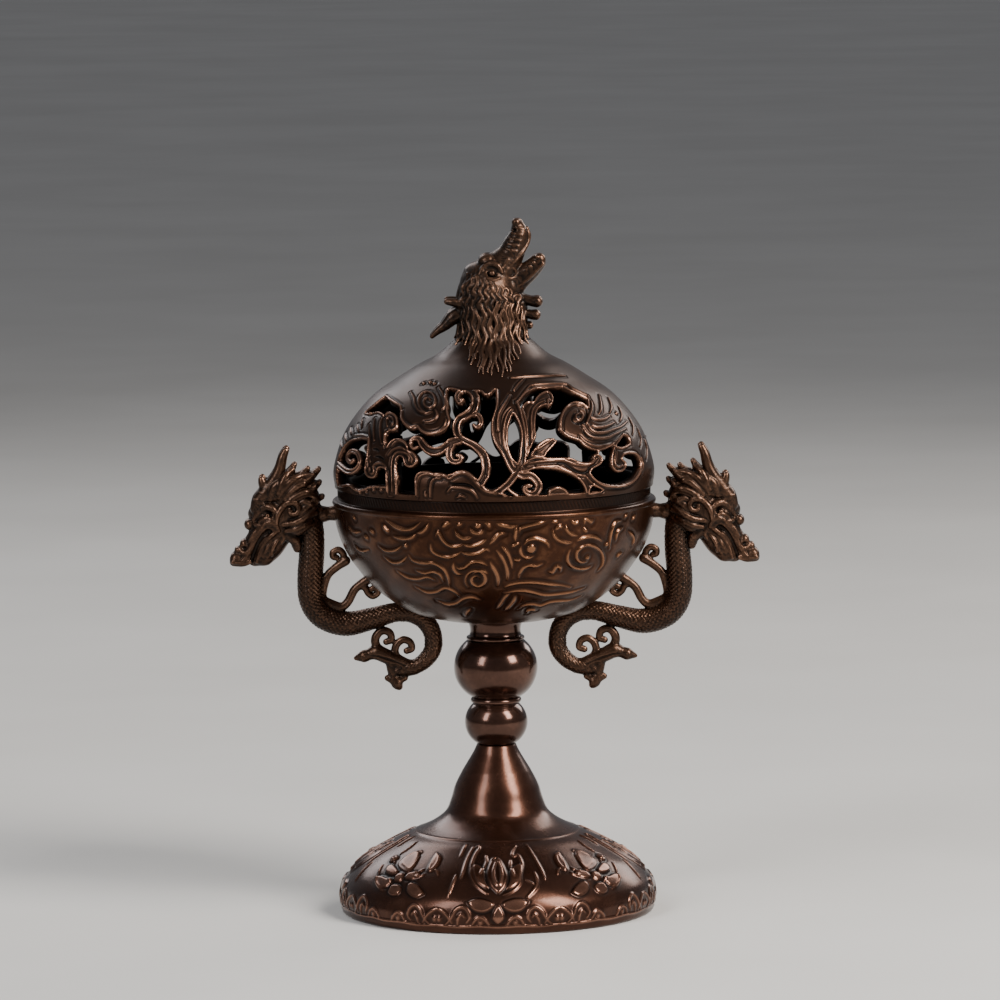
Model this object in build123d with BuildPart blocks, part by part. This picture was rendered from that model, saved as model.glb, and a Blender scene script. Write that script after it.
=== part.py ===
"""Pedestal incense burner: a pierced dome lid with a dragon finial, a footed bowl and two dragon handles.

The origin is the centre of the foot's resting face, +Z up, -Y the front. Sizes are in millimetres.
"""

import os
from math import cos, radians, sin

from build123d import *

# --- Heights along the axis ---------------------------------------------------------------
CONE_TOP_Z = 36.1
SMALL_BEAD_TOP_Z = 46.4
LARGE_BEAD_TOP_Z = 58.8
BOWL_BOTTOM_Z = 63.2
RIM_BEAD_Z = 89.2
LID_SEAT_Z = 92.4
LIP_TOP_Z = 94.0
LID_TOP_Z = 124.0

# --- Radii and walls ----------------------------------------------------------------------
FOOT_R = 34.0
BOWL_R = 34.4
RIM_BEAD_R = 34.9
BAND_R = 33.7
LIP_R = 32.2
LIP_INNER_R = 30.8
LID_INNER_R = 32.6
LID_NECK_R = 8.2
NECK_R = 5.5
CAST_WALL = 1.8
CLEARANCE = 0.05

# --- Tie rod that clamps the foot, beads and neck against the bowl --------------------------
ROD_R = 1.5
ROD_HOLE_R = 1.7
ROD_THREAD_R = ROD_R + CLEARANCE
ROD_BOTTOM_Z = 21.0
ROD_TOP_Z = 65.4
NUT_SEAT_Z = 25.0
NUT_FLATS, NUT_HEIGHT = 5.5, 2.4
WASHER_R, WASHER_T = 3.5, 0.5

# --- Handle screws, set from inside the bowl ------------------------------------------------
SCREW_R, SCREW_LENGTH = 0.8, 5.0
SCREW_HOLE_R = 0.9
SCREW_HEAD_R, SCREW_HEAD_H = 1.6, 1.0
SLOT_W, SLOT_DEPTH = 0.4, 0.5
LUG_SCREW_X, LUG_SCREW_Z = 32.2, 86.4
BELLY_SCREW_X, BELLY_SCREW_Z, BELLY_SCREW_TILT = 19.62, 67.6, 30.0

# --- Finial screw, set from inside the lid --------------------------------------------------
CEILING_Z = 119.5
SPIGOT_R = 3.0
FINIAL_SCREW_R, FINIAL_SCREW_LENGTH = 1.0, 7.0
FINIAL_HEAD_R, FINIAL_HEAD_H = 2.0, 1.2
FINIAL_WASHER_R, FINIAL_WASHER_T = 4.2, 0.6

# --- Inside the bowl ----------------------------------------------------------------------
FLOOR_Z, FLOOR_R = 66.2, 15.0
MAT_R, MAT_T = 13.5, 1.2
HOLDER_R, HOLDER_BASE_T = 11.0, 1.0
HOLDER_RIM_R, HOLDER_RIM_HEIGHT = 10.0, 2.0
POST_R, POST_HEIGHT = 3.0, 7.0
STICK_HOLE_R, STICK_HOLE_DEPTH = 1.15, 5.0
HOLDER_Z = FLOOR_Z + MAT_T
HOLDER_FLOOR_Z = HOLDER_Z + HOLDER_BASE_T

# --- Outlines in the XZ plane, as (radius, height) ------------------------------------------
FOOT_SLOPE = [(FOOT_R, 4.4), (32.6, 7.8), (28.5, 11.7), (21.2, 15.9), (14.4, 18.9)]
FOOT_SWEEP = [(14.4, 18.9), (11.5, 20.7), (10.4, 23.6)]
FOOT_CONE = [(10.4, 23.6), (9.0, 27.2), (6.4, 31.8), (3.6, CONE_TOP_Z)]
HOLLOW_SLOPE = [(9.0, 19.0), (18.0, 15.3), (26.8, 10.6), (FOOT_R - CAST_WALL, 3.8)]
HOLLOW_SWEEP = [(6.0, NUT_SEAT_Z), (7.0, 21.6), (9.0, 19.0)]
BOWL_FLANK = [(6.4, BOWL_BOTTOM_Z), (18.0, 65.5), (27.2, 71.3), (32.2, 78.4), (34.2, 83.2), (BOWL_R, 88.4)]
BOWL_INSIDE = [(FLOOR_R, FLOOR_Z), (25.8, 72.2), (30.3, 78.6), (31.9, 83.4), (LIP_INNER_R, 92.0)]
DOME_OUTSIDE = [
    (34.3, LID_SEAT_Z), (34.5, 96.5), (32.4, 103.4), (25.2, 112.6), (14.5, 119.2), (LID_NECK_R, LID_TOP_Z),
]
DOME_INSIDE = [
    (LID_INNER_R, LID_SEAT_Z), (32.7, 96.3), (30.6, 102.5), (23.7, 111.2), (13.6, 117.4), (9.0, CEILING_Z),
]

# --- Left dragon, in the XZ plane as (x, z); the right one is its mirror image --------------
# Body stations run from the nape, down and round under the bowl, to the root of the tail leaf.
BODY_STATIONS = [
    ((-40.2, 86.0), 2.9),
    ((-40.1, 80.0), 3.0),
    ((-40.3, 73.5), 2.95),
    ((-39.6, 68.0), 2.9),
    ((-36.8, 63.9), 2.8),
    ((-32.2, 62.4), 2.65),
    ((-26.8, 63.5), 2.35),
    ((-21.4, 64.6), 2.0),
    ((-17.0, 63.8), 1.9),
    ((-13.8, 60.8), 1.9),
    ((-13.5, 57.0), 1.85),
    ((-15.6, 54.0), 1.7),
    ((-19.2, 52.6), 1.5),
    ((-22.4, 52.9), 1.3),
]
LUG_START_X, LUG_R = -40.5, 1.8
UPPER_LEG = [(-37.2, 68.4), (-36.7, 71.4), (-35.2, 73.9), (-33.0, 75.4), (-31.0, 76.6)]
LOWER_LEG = [(-36.2, 67.6), (-33.6, 66.5), (-31.5, 67.6), (-30.1, 70.0), (-28.4, 71.4), (-26.4, 72.2)]
LEG_R = 0.95
LEG_CURLS = [(-33.9, 77.0), (-26.9, 69.8)]
LEG_CURL_R = 1.35
# Tapered limbs of the head and tail leaf: start, end, radius at the start, radius at the end.
HEAD_LIMBS = {
    "skull": ((-41.5, 88.5), (-48.0, 85.5), 5.0, 4.6),
    "snout": ((-48.0, 85.5), (-55.4, 76.6), 4.4, 1.5),
    "jaw": ((-44.6, 82.8), (-50.8, 75.8), 3.0, 1.7),
    "horn": ((-50.6, 87.6), (-45.7, 99.2), 1.5, 0.7),
    "horn_fork": ((-49.8, 90.2), (-50.0, 94.0), 1.0, 0.6),
    "mane_upper": ((-43.4, 89.6), (-38.4, 95.2), 2.8, 0.9),
    "mane_lower": ((-42.0, 87.6), (-36.6, 90.6), 3.0, 0.9),
}
TAIL_LIMBS = {
    "leaf_root": ((-20.6, 52.8), (-24.6, 56.0), 1.5, 1.7),
    "leaf_tip": ((-24.4, 55.6), (-29.4, 55.2), 1.7, 0.8),
    "leaf_heel": ((-20.8, 52.6), (-21.4, 49.2), 1.4, 1.1),
    "leaf_curl": ((-24.2, 57.4), (-24.0, 59.6), 1.6, 1.8),
    "leaf_bud": ((-20.4, 54.2), (-19.8, 57.0), 1.2, 1.6),
}

# --- Finial dragon head, in the XZ plane as (x, z) ------------------------------------------
FINIAL_LIMBS = {
    "throat": ((-0.6, 130.8), (-0.8, 134.4), 6.5, 6.2),
    "snout": ((-0.8, 135.6), (4.3, 148.4), 5.2, 1.6),
    "jaw": ((1.6, 134.2), (9.2, 141.4), 3.6, 1.7),
    "cheek_curl": ((3.4, 132.0), (8.6, 132.0), 2.4, 1.6),
    "beard": ((3.4, 129.4), (8.6, 128.2), 2.2, 1.4),
    "horn": ((-6.2, 130.2), (-13.4, 124.6), 1.6, 0.6),
    "ear": ((-6.0, 132.6), (-10.6, 132.6), 1.2, 0.7),
}

# --- Lid windows: azimuth from the front towards +X, then an outline of (across, height) -----
WINDOWS = [
    (-56, [(-7.4, 95.5), (-2.0, 94.9), (6.4, 95.2), (7.2, 98.4), (2.2, 98.2), (-1.5, 99.8), (-7.0, 98.8)]),
    (-44, [(-5.0, 104.0), (0.4, 105.4), (4.6, 107.8), (3.8, 110.0), (-1.4, 108.8), (-5.2, 106.2)]),
    (-20, [(-7.4, 95.2), (-4.8, 95.2), (-3.8, 98.8), (3.0, 99.6), (6.6, 98.2), (7.2, 101.8), (-2.6, 102.8),
           (-7.0, 101.4)]),
    (-3, [(1.0, 95.2), (3.4, 96.0), (1.2, 101.5), (0.8, 108.6), (-2.4, 108.8), (-2.4, 103.0), (-1.4, 98.6)]),
    (7, [(0.0, 99.4), (1.6, 103.5), (1.5, 108.5), (0.0, 112.2), (-1.6, 108.5), (-1.5, 103.5)]),
    (23, [(-4.4, 103.0), (0.4, 102.4), (5.2, 102.8), (4.4, 106.4), (4.6, 110.4), (0.0, 112.8), (-4.6, 110.6),
          (-3.6, 107.0)]),
    (25, [(-5.4, 95.2), (0.0, 94.9), (5.8, 95.2), (4.4, 98.4), (0.0, 100.0), (-4.8, 99.4)]),
    (50, [(-6.4, 98.6), (-2.4, 95.9), (3.6, 96.0), (6.8, 99.8), (5.2, 103.6), (0.6, 102.6), (-2.4, 103.6),
          (-5.6, 102.2)]),
]
WINDOW_INNER_R, WINDOW_OUTER_R = 12.0, 40.0


def draw(*runs):
    """Draws runs of points in the current line builder: two make a line, three an arc, more a spline."""
    for run in runs:
        if len(run) == 2:
            Line(*run)
        elif len(run) == 3:
            ThreePointArc(*run)
        else:
            Spline(*run)


def limb(start, end, start_r, end_r):
    """Adds a tapered limb with rounded ends, along a line in the XZ plane, to the current part."""
    origin, tip = Vector(start[0], 0, start[1]), Vector(end[0], 0, end[1])
    along = tip - origin
    middle = Plane(origin=origin + along * 0.5, x_dir=(0, 1, 0), z_dir=along)
    with Locations(middle):
        Cone(start_r, end_r, along.length)
    for centre, radius in ((origin, start_r), (tip, end_r)):
        with Locations(centre):
            Sphere(radius)


def swept_rod(points, radius):
    """Adds a round rod that follows a spline in the XZ plane to the current part."""
    with BuildLine(Plane.XZ) as route:
        Spline(*points)
    with BuildSketch(Plane(origin=route.line @ 0, z_dir=route.line % 0)) as section:
        Circle(radius)
    sweep(section.sketch, path=route.line)


def screw_plane(side, place):
    """A handle screw's seat inside the bowl, with its z axis pointing outwards through the wall."""
    if place == "lug":
        return Plane(origin=(side * LUG_SCREW_X, 0, LUG_SCREW_Z), x_dir=(0, 1, 0), z_dir=(side, 0, 0))
    tilt = radians(BELLY_SCREW_TILT)
    seat = (side * BELLY_SCREW_X, 0, BELLY_SCREW_Z)
    return Plane(origin=seat, x_dir=(0, 1, 0), z_dir=(side * sin(tilt), 0, -cos(tilt)))


SCREW_PLANES = [screw_plane(side, place) for side in (-1, 1) for place in ("lug", "belly")]


def cylinder_cut(plane, radius, depth):
    """Cuts a round hole of this depth from a plane, along its z axis, out of the current part."""
    with BuildSketch(plane) as disc:
        Circle(radius)
    extrude(disc.sketch, amount=depth, mode=Mode.SUBTRACT)


# === Foot: a hollow casting, a shallow dome that sweeps up into a cone =======================
with BuildPart() as foot:
    with BuildSketch(Plane.XZ):
        with BuildLine():
            draw(
                [(FOOT_R - CAST_WALL, 0), (FOOT_R, 0)],
                [(FOOT_R, 0), FOOT_SLOPE[0]],
                FOOT_SLOPE,
                FOOT_SWEEP,
                FOOT_CONE,
                [FOOT_CONE[-1], (ROD_HOLE_R, CONE_TOP_Z)],
                [(ROD_HOLE_R, CONE_TOP_Z), (ROD_HOLE_R, NUT_SEAT_Z)],
                [(ROD_HOLE_R, NUT_SEAT_Z), HOLLOW_SWEEP[0]],
                HOLLOW_SWEEP,
                HOLLOW_SLOPE,
                [HOLLOW_SLOPE[-1], (FOOT_R - CAST_WALL, 0)],
            )
        make_face()
    revolve(axis=Axis.Z)

# === Stem: two beads and a waisted neck, bored for the tie rod ===============================
with BuildPart() as stem_small_bead:
    with BuildSketch(Plane.XZ):
        with BuildLine():
            draw(
                [(ROD_HOLE_R, CONE_TOP_Z), (4.0, CONE_TOP_Z)],
                [(4.0, CONE_TOP_Z), (6.8, 40.9), (4.9, 45.0)],
                [(4.9, 45.0), (5.5, 45.7), (4.9, SMALL_BEAD_TOP_Z)],
                [(4.9, SMALL_BEAD_TOP_Z), (ROD_HOLE_R, SMALL_BEAD_TOP_Z)],
                [(ROD_HOLE_R, SMALL_BEAD_TOP_Z), (ROD_HOLE_R, CONE_TOP_Z)],
            )
        make_face()
    revolve(axis=Axis.Z)

with BuildPart() as stem_large_bead:
    with BuildSketch(Plane.XZ):
        with BuildLine():
            draw(
                [(ROD_HOLE_R, SMALL_BEAD_TOP_Z), (5.4, SMALL_BEAD_TOP_Z)],
                [(5.4, SMALL_BEAD_TOP_Z), (9.05, 52.6), (6.1, LARGE_BEAD_TOP_Z)],
                [(6.1, LARGE_BEAD_TOP_Z), (ROD_HOLE_R, LARGE_BEAD_TOP_Z)],
                [(ROD_HOLE_R, LARGE_BEAD_TOP_Z), (ROD_HOLE_R, SMALL_BEAD_TOP_Z)],
            )
        make_face()
    revolve(axis=Axis.Z)

with BuildPart() as stem_neck:
    with BuildSketch(Plane.XZ):
        with BuildLine():
            draw(
                [(ROD_HOLE_R, LARGE_BEAD_TOP_Z), (5.8, LARGE_BEAD_TOP_Z)],
                [(5.8, LARGE_BEAD_TOP_Z), (6.2, 59.25), (5.7, 59.7)],
                [(5.7, 59.7), (NECK_R, 61.4), (6.4, BOWL_BOTTOM_Z)],
                [(6.4, BOWL_BOTTOM_Z), (ROD_HOLE_R, BOWL_BOTTOM_Z)],
                [(ROD_HOLE_R, BOWL_BOTTOM_Z), (ROD_HOLE_R, LARGE_BEAD_TOP_Z)],
            )
        make_face()
    revolve(axis=Axis.Z)

# === Tie rod, washer and nut: they pull the stem together from inside the foot ===============
with BuildPart() as tie_rod:
    with BuildSketch(Plane.XY.offset(ROD_BOTTOM_Z)):
        Circle(ROD_R)
    extrude(amount=ROD_TOP_Z - ROD_BOTTOM_Z)
    chamfer(tie_rod.edges().filter_by(GeomType.CIRCLE), 0.3)

with BuildPart() as tie_washer:
    with BuildSketch(Plane.XY.offset(NUT_SEAT_Z - WASHER_T)):
        Circle(WASHER_R)
        Circle(ROD_R + CLEARANCE, mode=Mode.SUBTRACT)
    extrude(amount=WASHER_T)

with BuildPart() as tie_nut:
    with BuildSketch(Plane.XY.offset(NUT_SEAT_Z - WASHER_T - NUT_HEIGHT)):
        RegularPolygon(NUT_FLATS / 2, 6, major_radius=False)
        Circle(ROD_R + CLEARANCE, mode=Mode.SUBTRACT)
    extrude(amount=NUT_HEIGHT)

# === Bowl: a full half ellipsoid with a rim bead, a recessed band and a locating lip =========
with BuildPart() as bowl_form:
    with BuildSketch(Plane.XZ):
        with BuildLine():
            draw(
                [(0, BOWL_BOTTOM_Z), BOWL_FLANK[0]],
                BOWL_FLANK,
                [BOWL_FLANK[-1], (RIM_BEAD_R, RIM_BEAD_Z), (BAND_R, 89.9)],
                [(BAND_R, 89.9), (BAND_R, LID_SEAT_Z)],
                [(BAND_R, LID_SEAT_Z), (LIP_R, LID_SEAT_Z)],
                [(LIP_R, LID_SEAT_Z), (LIP_R, LIP_TOP_Z)],
                [(LIP_R, LIP_TOP_Z), (0, LIP_TOP_Z)],
                [(0, LIP_TOP_Z), (0, BOWL_BOTTOM_Z)],
            )
        make_face()
    revolve(axis=Axis.Z)

with BuildPart() as bowl:
    add(bowl_form.part)
    with BuildSketch(Plane.XZ):
        with BuildLine():
            draw(
                [(0, FLOOR_Z), BOWL_INSIDE[0]],
                BOWL_INSIDE,
                [BOWL_INSIDE[-1], (LIP_INNER_R, LIP_TOP_Z)],
                [(LIP_INNER_R, LIP_TOP_Z), (0, LIP_TOP_Z)],
                [(0, LIP_TOP_Z), (0, FLOOR_Z)],
            )
        make_face()
    revolve(axis=Axis.Z, mode=Mode.SUBTRACT)
    cylinder_cut(Plane.XY.offset(BOWL_BOTTOM_Z), ROD_THREAD_R, ROD_TOP_Z - BOWL_BOTTOM_Z + CLEARANCE)
    for seat in SCREW_PLANES:
        cylinder_cut(seat, SCREW_HOLE_R, SCREW_LENGTH)
        cylinder_cut(seat.offset(-SCREW_HEAD_H), SCREW_HEAD_R + CLEARANCE, SCREW_HEAD_H)

# === Heat mat and incense holder, loose on the bowl's floor ==================================
with BuildPart() as heat_mat:
    with BuildSketch(Plane.XY.offset(FLOOR_Z)):
        Circle(MAT_R)
    extrude(amount=MAT_T)

with BuildPart() as incense_holder:
    with BuildSketch(Plane.XY.offset(HOLDER_Z)):
        Circle(HOLDER_R)
    extrude(amount=HOLDER_BASE_T)
    with BuildSketch(Plane.XY.offset(HOLDER_FLOOR_Z)):
        Circle(HOLDER_R)
        Circle(HOLDER_RIM_R, mode=Mode.SUBTRACT)
        Circle(POST_R)
    extrude(amount=HOLDER_RIM_HEIGHT)
    with BuildSketch(Plane.XY.offset(HOLDER_FLOOR_Z + HOLDER_RIM_HEIGHT)):
        Circle(POST_R)
    extrude(amount=POST_HEIGHT - HOLDER_RIM_HEIGHT)
    with Locations((0, 0, HOLDER_FLOOR_Z + POST_HEIGHT)):
        Hole(STICK_HOLE_R, depth=STICK_HOLE_DEPTH)

# === Handle screws: four slotted screws in one node ==========================================
with BuildPart() as handle_screws:
    for seat in SCREW_PLANES:
        with BuildSketch(seat):
            Circle(SCREW_R)
        extrude(amount=SCREW_LENGTH - CLEARANCE)
        with BuildSketch(seat.offset(-SCREW_HEAD_H)):
            Circle(SCREW_HEAD_R)
        extrude(amount=SCREW_HEAD_H)
        with BuildSketch(seat.offset(-SCREW_HEAD_H)):
            Rectangle(2 * SCREW_HEAD_R + 1, SLOT_W)
        extrude(amount=SLOT_DEPTH, mode=Mode.SUBTRACT)

# === Dragon handles: head, scaled body, clawed legs and leafed tail in one casting ===========
with BuildPart() as dragon_handle_left:
    with BuildLine(Plane.XZ):
        spine = Spline(*[place for place, _ in BODY_STATIONS])
    for (x, z), radius in BODY_STATIONS:
        centre = Vector(x, 0, z)
        along = spine % spine.param_at_point(centre)
        with BuildSketch(Plane(origin=centre, x_dir=(0, 1, 0), z_dir=along)):
            Circle(radius)
    loft()
    for ends in (*HEAD_LIMBS.values(), *TAIL_LIMBS.values()):
        limb(*ends)
    swept_rod([(LUG_START_X, LUG_SCREW_Z), (-30.0, LUG_SCREW_Z)], LUG_R)
    for leg in (UPPER_LEG, LOWER_LEG):
        swept_rod(leg, LEG_R)
    with Locations(*[(x, 0, z) for x, z in LEG_CURLS]):
        Sphere(LEG_CURL_R)
    add(bowl_form.part, mode=Mode.SUBTRACT)
    for seat in SCREW_PLANES[:2]:
        cylinder_cut(seat, SCREW_HOLE_R, SCREW_LENGTH)

with BuildPart() as dragon_handle_right:
    mirror(dragon_handle_left.part, about=Plane.YZ)

# === Lid: a pierced dome with windows on its two halves ======================================
with BuildPart() as lid:
    with BuildSketch(Plane.XZ):
        with BuildLine():
            draw(
                [DOME_INSIDE[0], DOME_OUTSIDE[0]],
                DOME_OUTSIDE,
                [DOME_OUTSIDE[-1], (SPIGOT_R + CLEARANCE, LID_TOP_Z)],
                [(SPIGOT_R + CLEARANCE, LID_TOP_Z), (SPIGOT_R + CLEARANCE, CEILING_Z)],
                [(SPIGOT_R + CLEARANCE, CEILING_Z), DOME_INSIDE[-1]],
                DOME_INSIDE[::-1],
            )
        make_face()
    revolve(axis=Axis.Z)
    for half in (0, 180):
        for azimuth, window in WINDOWS:
            turn = radians(azimuth + half)
            outwards, across = (sin(turn), -cos(turn), 0), (cos(turn), sin(turn), 0)
            face = Plane(origin=(0, 0, 0), x_dir=across, z_dir=outwards)
            with BuildSketch(face.offset(WINDOW_INNER_R)):
                with BuildLine():
                    Spline(*window, periodic=True)
                make_face()
            extrude(amount=WINDOW_OUTER_R - WINDOW_INNER_R, mode=Mode.SUBTRACT)

# === Finial: a roaring dragon head on a spigot, with its screw and washer ====================
with BuildPart() as finial_dragon:
    with BuildSketch(Plane.XY.offset(LID_TOP_Z)):
        Circle(LID_NECK_R)
    with BuildSketch(Plane.XY.offset(LID_TOP_Z + 4)):
        Circle(6.4)
    loft()
    for ends in FINIAL_LIMBS.values():
        limb(*ends)
    with BuildSketch(Plane.XY.offset(CEILING_Z + CLEARANCE)):
        Circle(SPIGOT_R)
    extrude(amount=LID_TOP_Z - CEILING_Z)
    cylinder_cut(Plane.XY.offset(CEILING_Z), FINIAL_SCREW_R + CLEARANCE, FINIAL_SCREW_LENGTH)

with BuildPart() as finial_washer:
    with BuildSketch(Plane.XY.offset(CEILING_Z - FINIAL_WASHER_T)):
        Circle(FINIAL_WASHER_R)
        Circle(FINIAL_SCREW_R + CLEARANCE, mode=Mode.SUBTRACT)
    extrude(amount=FINIAL_WASHER_T)

with BuildPart() as finial_screw:
    with BuildSketch(Plane.XY.offset(CEILING_Z - FINIAL_WASHER_T)):
        Circle(FINIAL_SCREW_R)
    extrude(amount=FINIAL_SCREW_LENGTH)
    with BuildSketch(Plane.XY.offset(CEILING_Z - FINIAL_WASHER_T - FINIAL_HEAD_H)):
        Circle(FINIAL_HEAD_R)
    extrude(amount=FINIAL_HEAD_H)
    with BuildSketch(Plane.XY.offset(CEILING_Z - FINIAL_WASHER_T - FINIAL_HEAD_H)):
        Rectangle(2 * FINIAL_HEAD_R + 1, SLOT_W)
    extrude(amount=SLOT_DEPTH, mode=Mode.SUBTRACT)

# === Export: one STEP file per node ==========================================================
NODES = {
    "foot": foot,
    "stem_small_bead": stem_small_bead,
    "stem_large_bead": stem_large_bead,
    "stem_neck": stem_neck,
    "tie_rod": tie_rod,
    "tie_washer": tie_washer,
    "tie_nut": tie_nut,
    "bowl": bowl,
    "heat_mat": heat_mat,
    "incense_holder": incense_holder,
    "handle_screws": handle_screws,
    "dragon_handle_left": dragon_handle_left,
    "dragon_handle_right": dragon_handle_right,
    "lid": lid,
    "finial_dragon": finial_dragon,
    "finial_washer": finial_washer,
    "finial_screw": finial_screw,
}

os.makedirs("parts", exist_ok=True)
for node, piece in NODES.items():
    piece.part.label = node
    export_step(piece.part, f"parts/{node}.step")
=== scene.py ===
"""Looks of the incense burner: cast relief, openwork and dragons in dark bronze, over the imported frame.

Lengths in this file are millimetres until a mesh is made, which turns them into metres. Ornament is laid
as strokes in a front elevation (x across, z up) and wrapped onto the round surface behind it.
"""

import math

import bpy
import numpy as np
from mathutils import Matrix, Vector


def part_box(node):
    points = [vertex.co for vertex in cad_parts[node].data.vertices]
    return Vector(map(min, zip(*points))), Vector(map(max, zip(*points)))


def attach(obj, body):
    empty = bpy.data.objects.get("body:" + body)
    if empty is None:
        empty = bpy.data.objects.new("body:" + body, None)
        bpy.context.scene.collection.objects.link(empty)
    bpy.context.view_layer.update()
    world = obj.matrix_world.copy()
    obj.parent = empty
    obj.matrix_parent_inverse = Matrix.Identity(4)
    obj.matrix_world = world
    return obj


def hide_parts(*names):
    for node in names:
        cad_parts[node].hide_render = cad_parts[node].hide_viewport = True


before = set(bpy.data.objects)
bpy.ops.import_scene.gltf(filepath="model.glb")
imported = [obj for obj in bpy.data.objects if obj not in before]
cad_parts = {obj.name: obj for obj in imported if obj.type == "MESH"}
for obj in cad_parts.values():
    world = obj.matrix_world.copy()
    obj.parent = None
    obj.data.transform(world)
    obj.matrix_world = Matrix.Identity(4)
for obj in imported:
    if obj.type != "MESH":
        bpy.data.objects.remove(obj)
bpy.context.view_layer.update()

import openvdb
from mathutils import Euler, Quaternion

MM = 0.001
FAR = 3.0  # the furthest distance that the height fields keep
TIE_BORE = 1.7  # radius of the hole for the tie rod, in foot and stem


def box_mm(node):
    """A CAD node's lowest and highest corners, in millimetres."""
    low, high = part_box(node)
    return np.array(low) / MM, np.array(high) / MM


# --- Places read from the frame -----------------------------------------------------------------
CONE_TOP = box_mm("foot")[1][2]
SMALL_BEAD_TOP = box_mm("stem_small_bead")[1][2]
LARGE_BEAD_TOP = box_mm("stem_large_bead")[1][2]
BOWL_BOTTOM, LIP_TOP = box_mm("bowl")[0][2], box_mm("bowl")[1][2]
LID_SEAT, LID_TOP = box_mm("lid")[0][2], box_mm("lid")[1][2]
FOOT_R = box_mm("foot")[1][0]
RIM_R = box_mm("bowl")[1][0]

# ==================================================================================================
# Curves, fields and meshes
# ==================================================================================================


def smooth(points, steps=6):
    """Points along a Catmull-Rom curve through the given points."""
    p = np.asarray(points, float)
    if len(p) < 3:
        t = np.linspace(0, 1, steps + 1)[:, None]
        return p[0] + (p[-1] - p[0]) * t
    q = np.vstack([2 * p[0] - p[1], p, 2 * p[-1] - p[-2]])
    t = np.linspace(0, 1, steps, endpoint=False)[:, None]
    spans = []
    for a, b, c, d in zip(q, q[1:], q[2:], q[3:]):
        bend = 2 * a - 5 * b + 4 * c - d
        spans.append(0.5 * (2 * b + (c - a) * t + bend * t**2 + (3 * b - a - 3 * c + d) * t**3))
    return np.vstack([*spans, p[-1:]])


def spiral(x, z, inner, outer, start, turns):
    """Spiral in the elevation: from the inner radius outwards, anticlockwise if turns > 0."""
    count = max(8, int(abs(turns) * 20))
    a = np.radians(start) + np.linspace(0, 2 * math.pi * turns, count)
    r = np.linspace(inner, outer, count)
    return np.column_stack([x + r * np.cos(a), z + r * np.sin(a)])


def nearest_on_path(points, path, widths):
    """For each point, its distance to a polyline less the line's half width there."""
    best = np.full(len(points), FAR * 4)
    for a, b, wa, wb in zip(path, path[1:], widths, widths[1:]):
        run = b - a
        t = np.clip((points - a) @ run / max(run @ run, 1e-9), 0, 1)
        d = np.linalg.norm(points - a - t[:, None] * run, axis=1) - (wa + (wb - wa) * t)
        best = np.minimum(best, d)
    return best


def lay(field, points, path, width, reach=FAR):
    """Lowers a field to its distance from one stroke, only where the stroke can reach."""
    widths = np.interp(np.linspace(0, 1, len(path)), np.linspace(0, 1, len(np.atleast_1d(width))),
                       np.atleast_1d(width))
    least = path.min(0) - reach - widths.max()
    most = path.max(0) + reach + widths.max()
    near = np.all((points > least) & (points < most), axis=1)
    if near.any():
        field[near] = np.minimum(field[near], nearest_on_path(points[near], path, widths))


def inside_outline(x, z, outline):
    """Even-odd test of elevation points against a closed outline."""
    inside = np.zeros(len(x), bool)
    for (x0, z0), (x1, z1) in zip(outline, np.roll(outline, -1, axis=0)):
        crosses = (z0 > z) != (z1 > z)
        if z1 != z0:
            inside ^= crosses & (x < (x1 - x0) * (z - z0) / (z1 - z0) + x0)
    return inside


def outline_of(runs):
    """A closed outline from smooth runs that meet at corners."""
    return np.vstack([smooth(run)[:-1] if len(run) > 2 else np.asarray(run, float)[:-1] for run in runs])


def smooth_step(x, low, high):
    """From 0 at low to 1 at high, level at both ends."""
    t = np.clip((x - low) / (high - low), 0, 1)
    return t * t * (3 - 2 * t)


def make_mesh(name, points, *face_sets, wear_and_shade=None):
    """A smooth-shaded object from millimetre points and arrays of triangles or quads.

    Each point carries a colour level: wear, with painted shade added where a piece asks for it.
    """
    mesh = bpy.data.meshes.new(name)
    mesh.vertices.add(len(points))
    mesh.vertices.foreach_set("co", (np.asarray(points) * MM).astype(np.float32).ravel())
    sizes = np.concatenate([np.full(len(f), f.shape[1]) for f in face_sets])
    mesh.loops.add(int(sizes.sum()))
    mesh.loops.foreach_set("vertex_index", np.concatenate([f.ravel() for f in face_sets]).astype(np.int32))
    mesh.polygons.add(len(sizes))
    mesh.polygons.foreach_set("loop_start", (np.cumsum(sizes) - sizes).astype(np.int32))
    mesh.polygons.foreach_set("use_smooth", np.ones(len(sizes), bool))
    mesh.update(calc_edges=True)
    mesh.validate()
    values = np.full(len(points), 0.5) if wear_and_shade is None else wear_and_shade
    mesh.attributes.new("wear_and_shade", "FLOAT", "POINT").data.foreach_set("value", values.astype(np.float32))
    piece = bpy.data.objects.new(name, mesh)
    bpy.context.scene.collection.objects.link(piece)
    return piece


def resample(outline, step):
    """Points spaced evenly, a step apart at most, along an outline of (radius, height)."""
    p = np.asarray(outline, float)
    length = np.r_[0, np.cumsum(np.linalg.norm(np.diff(p, axis=0), axis=1))]
    at = np.linspace(0, length[-1], max(2, int(math.ceil(length[-1] / step)) + 1))
    return np.column_stack([np.interp(at, length, p[:, k]) for k in range(2)])


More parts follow.
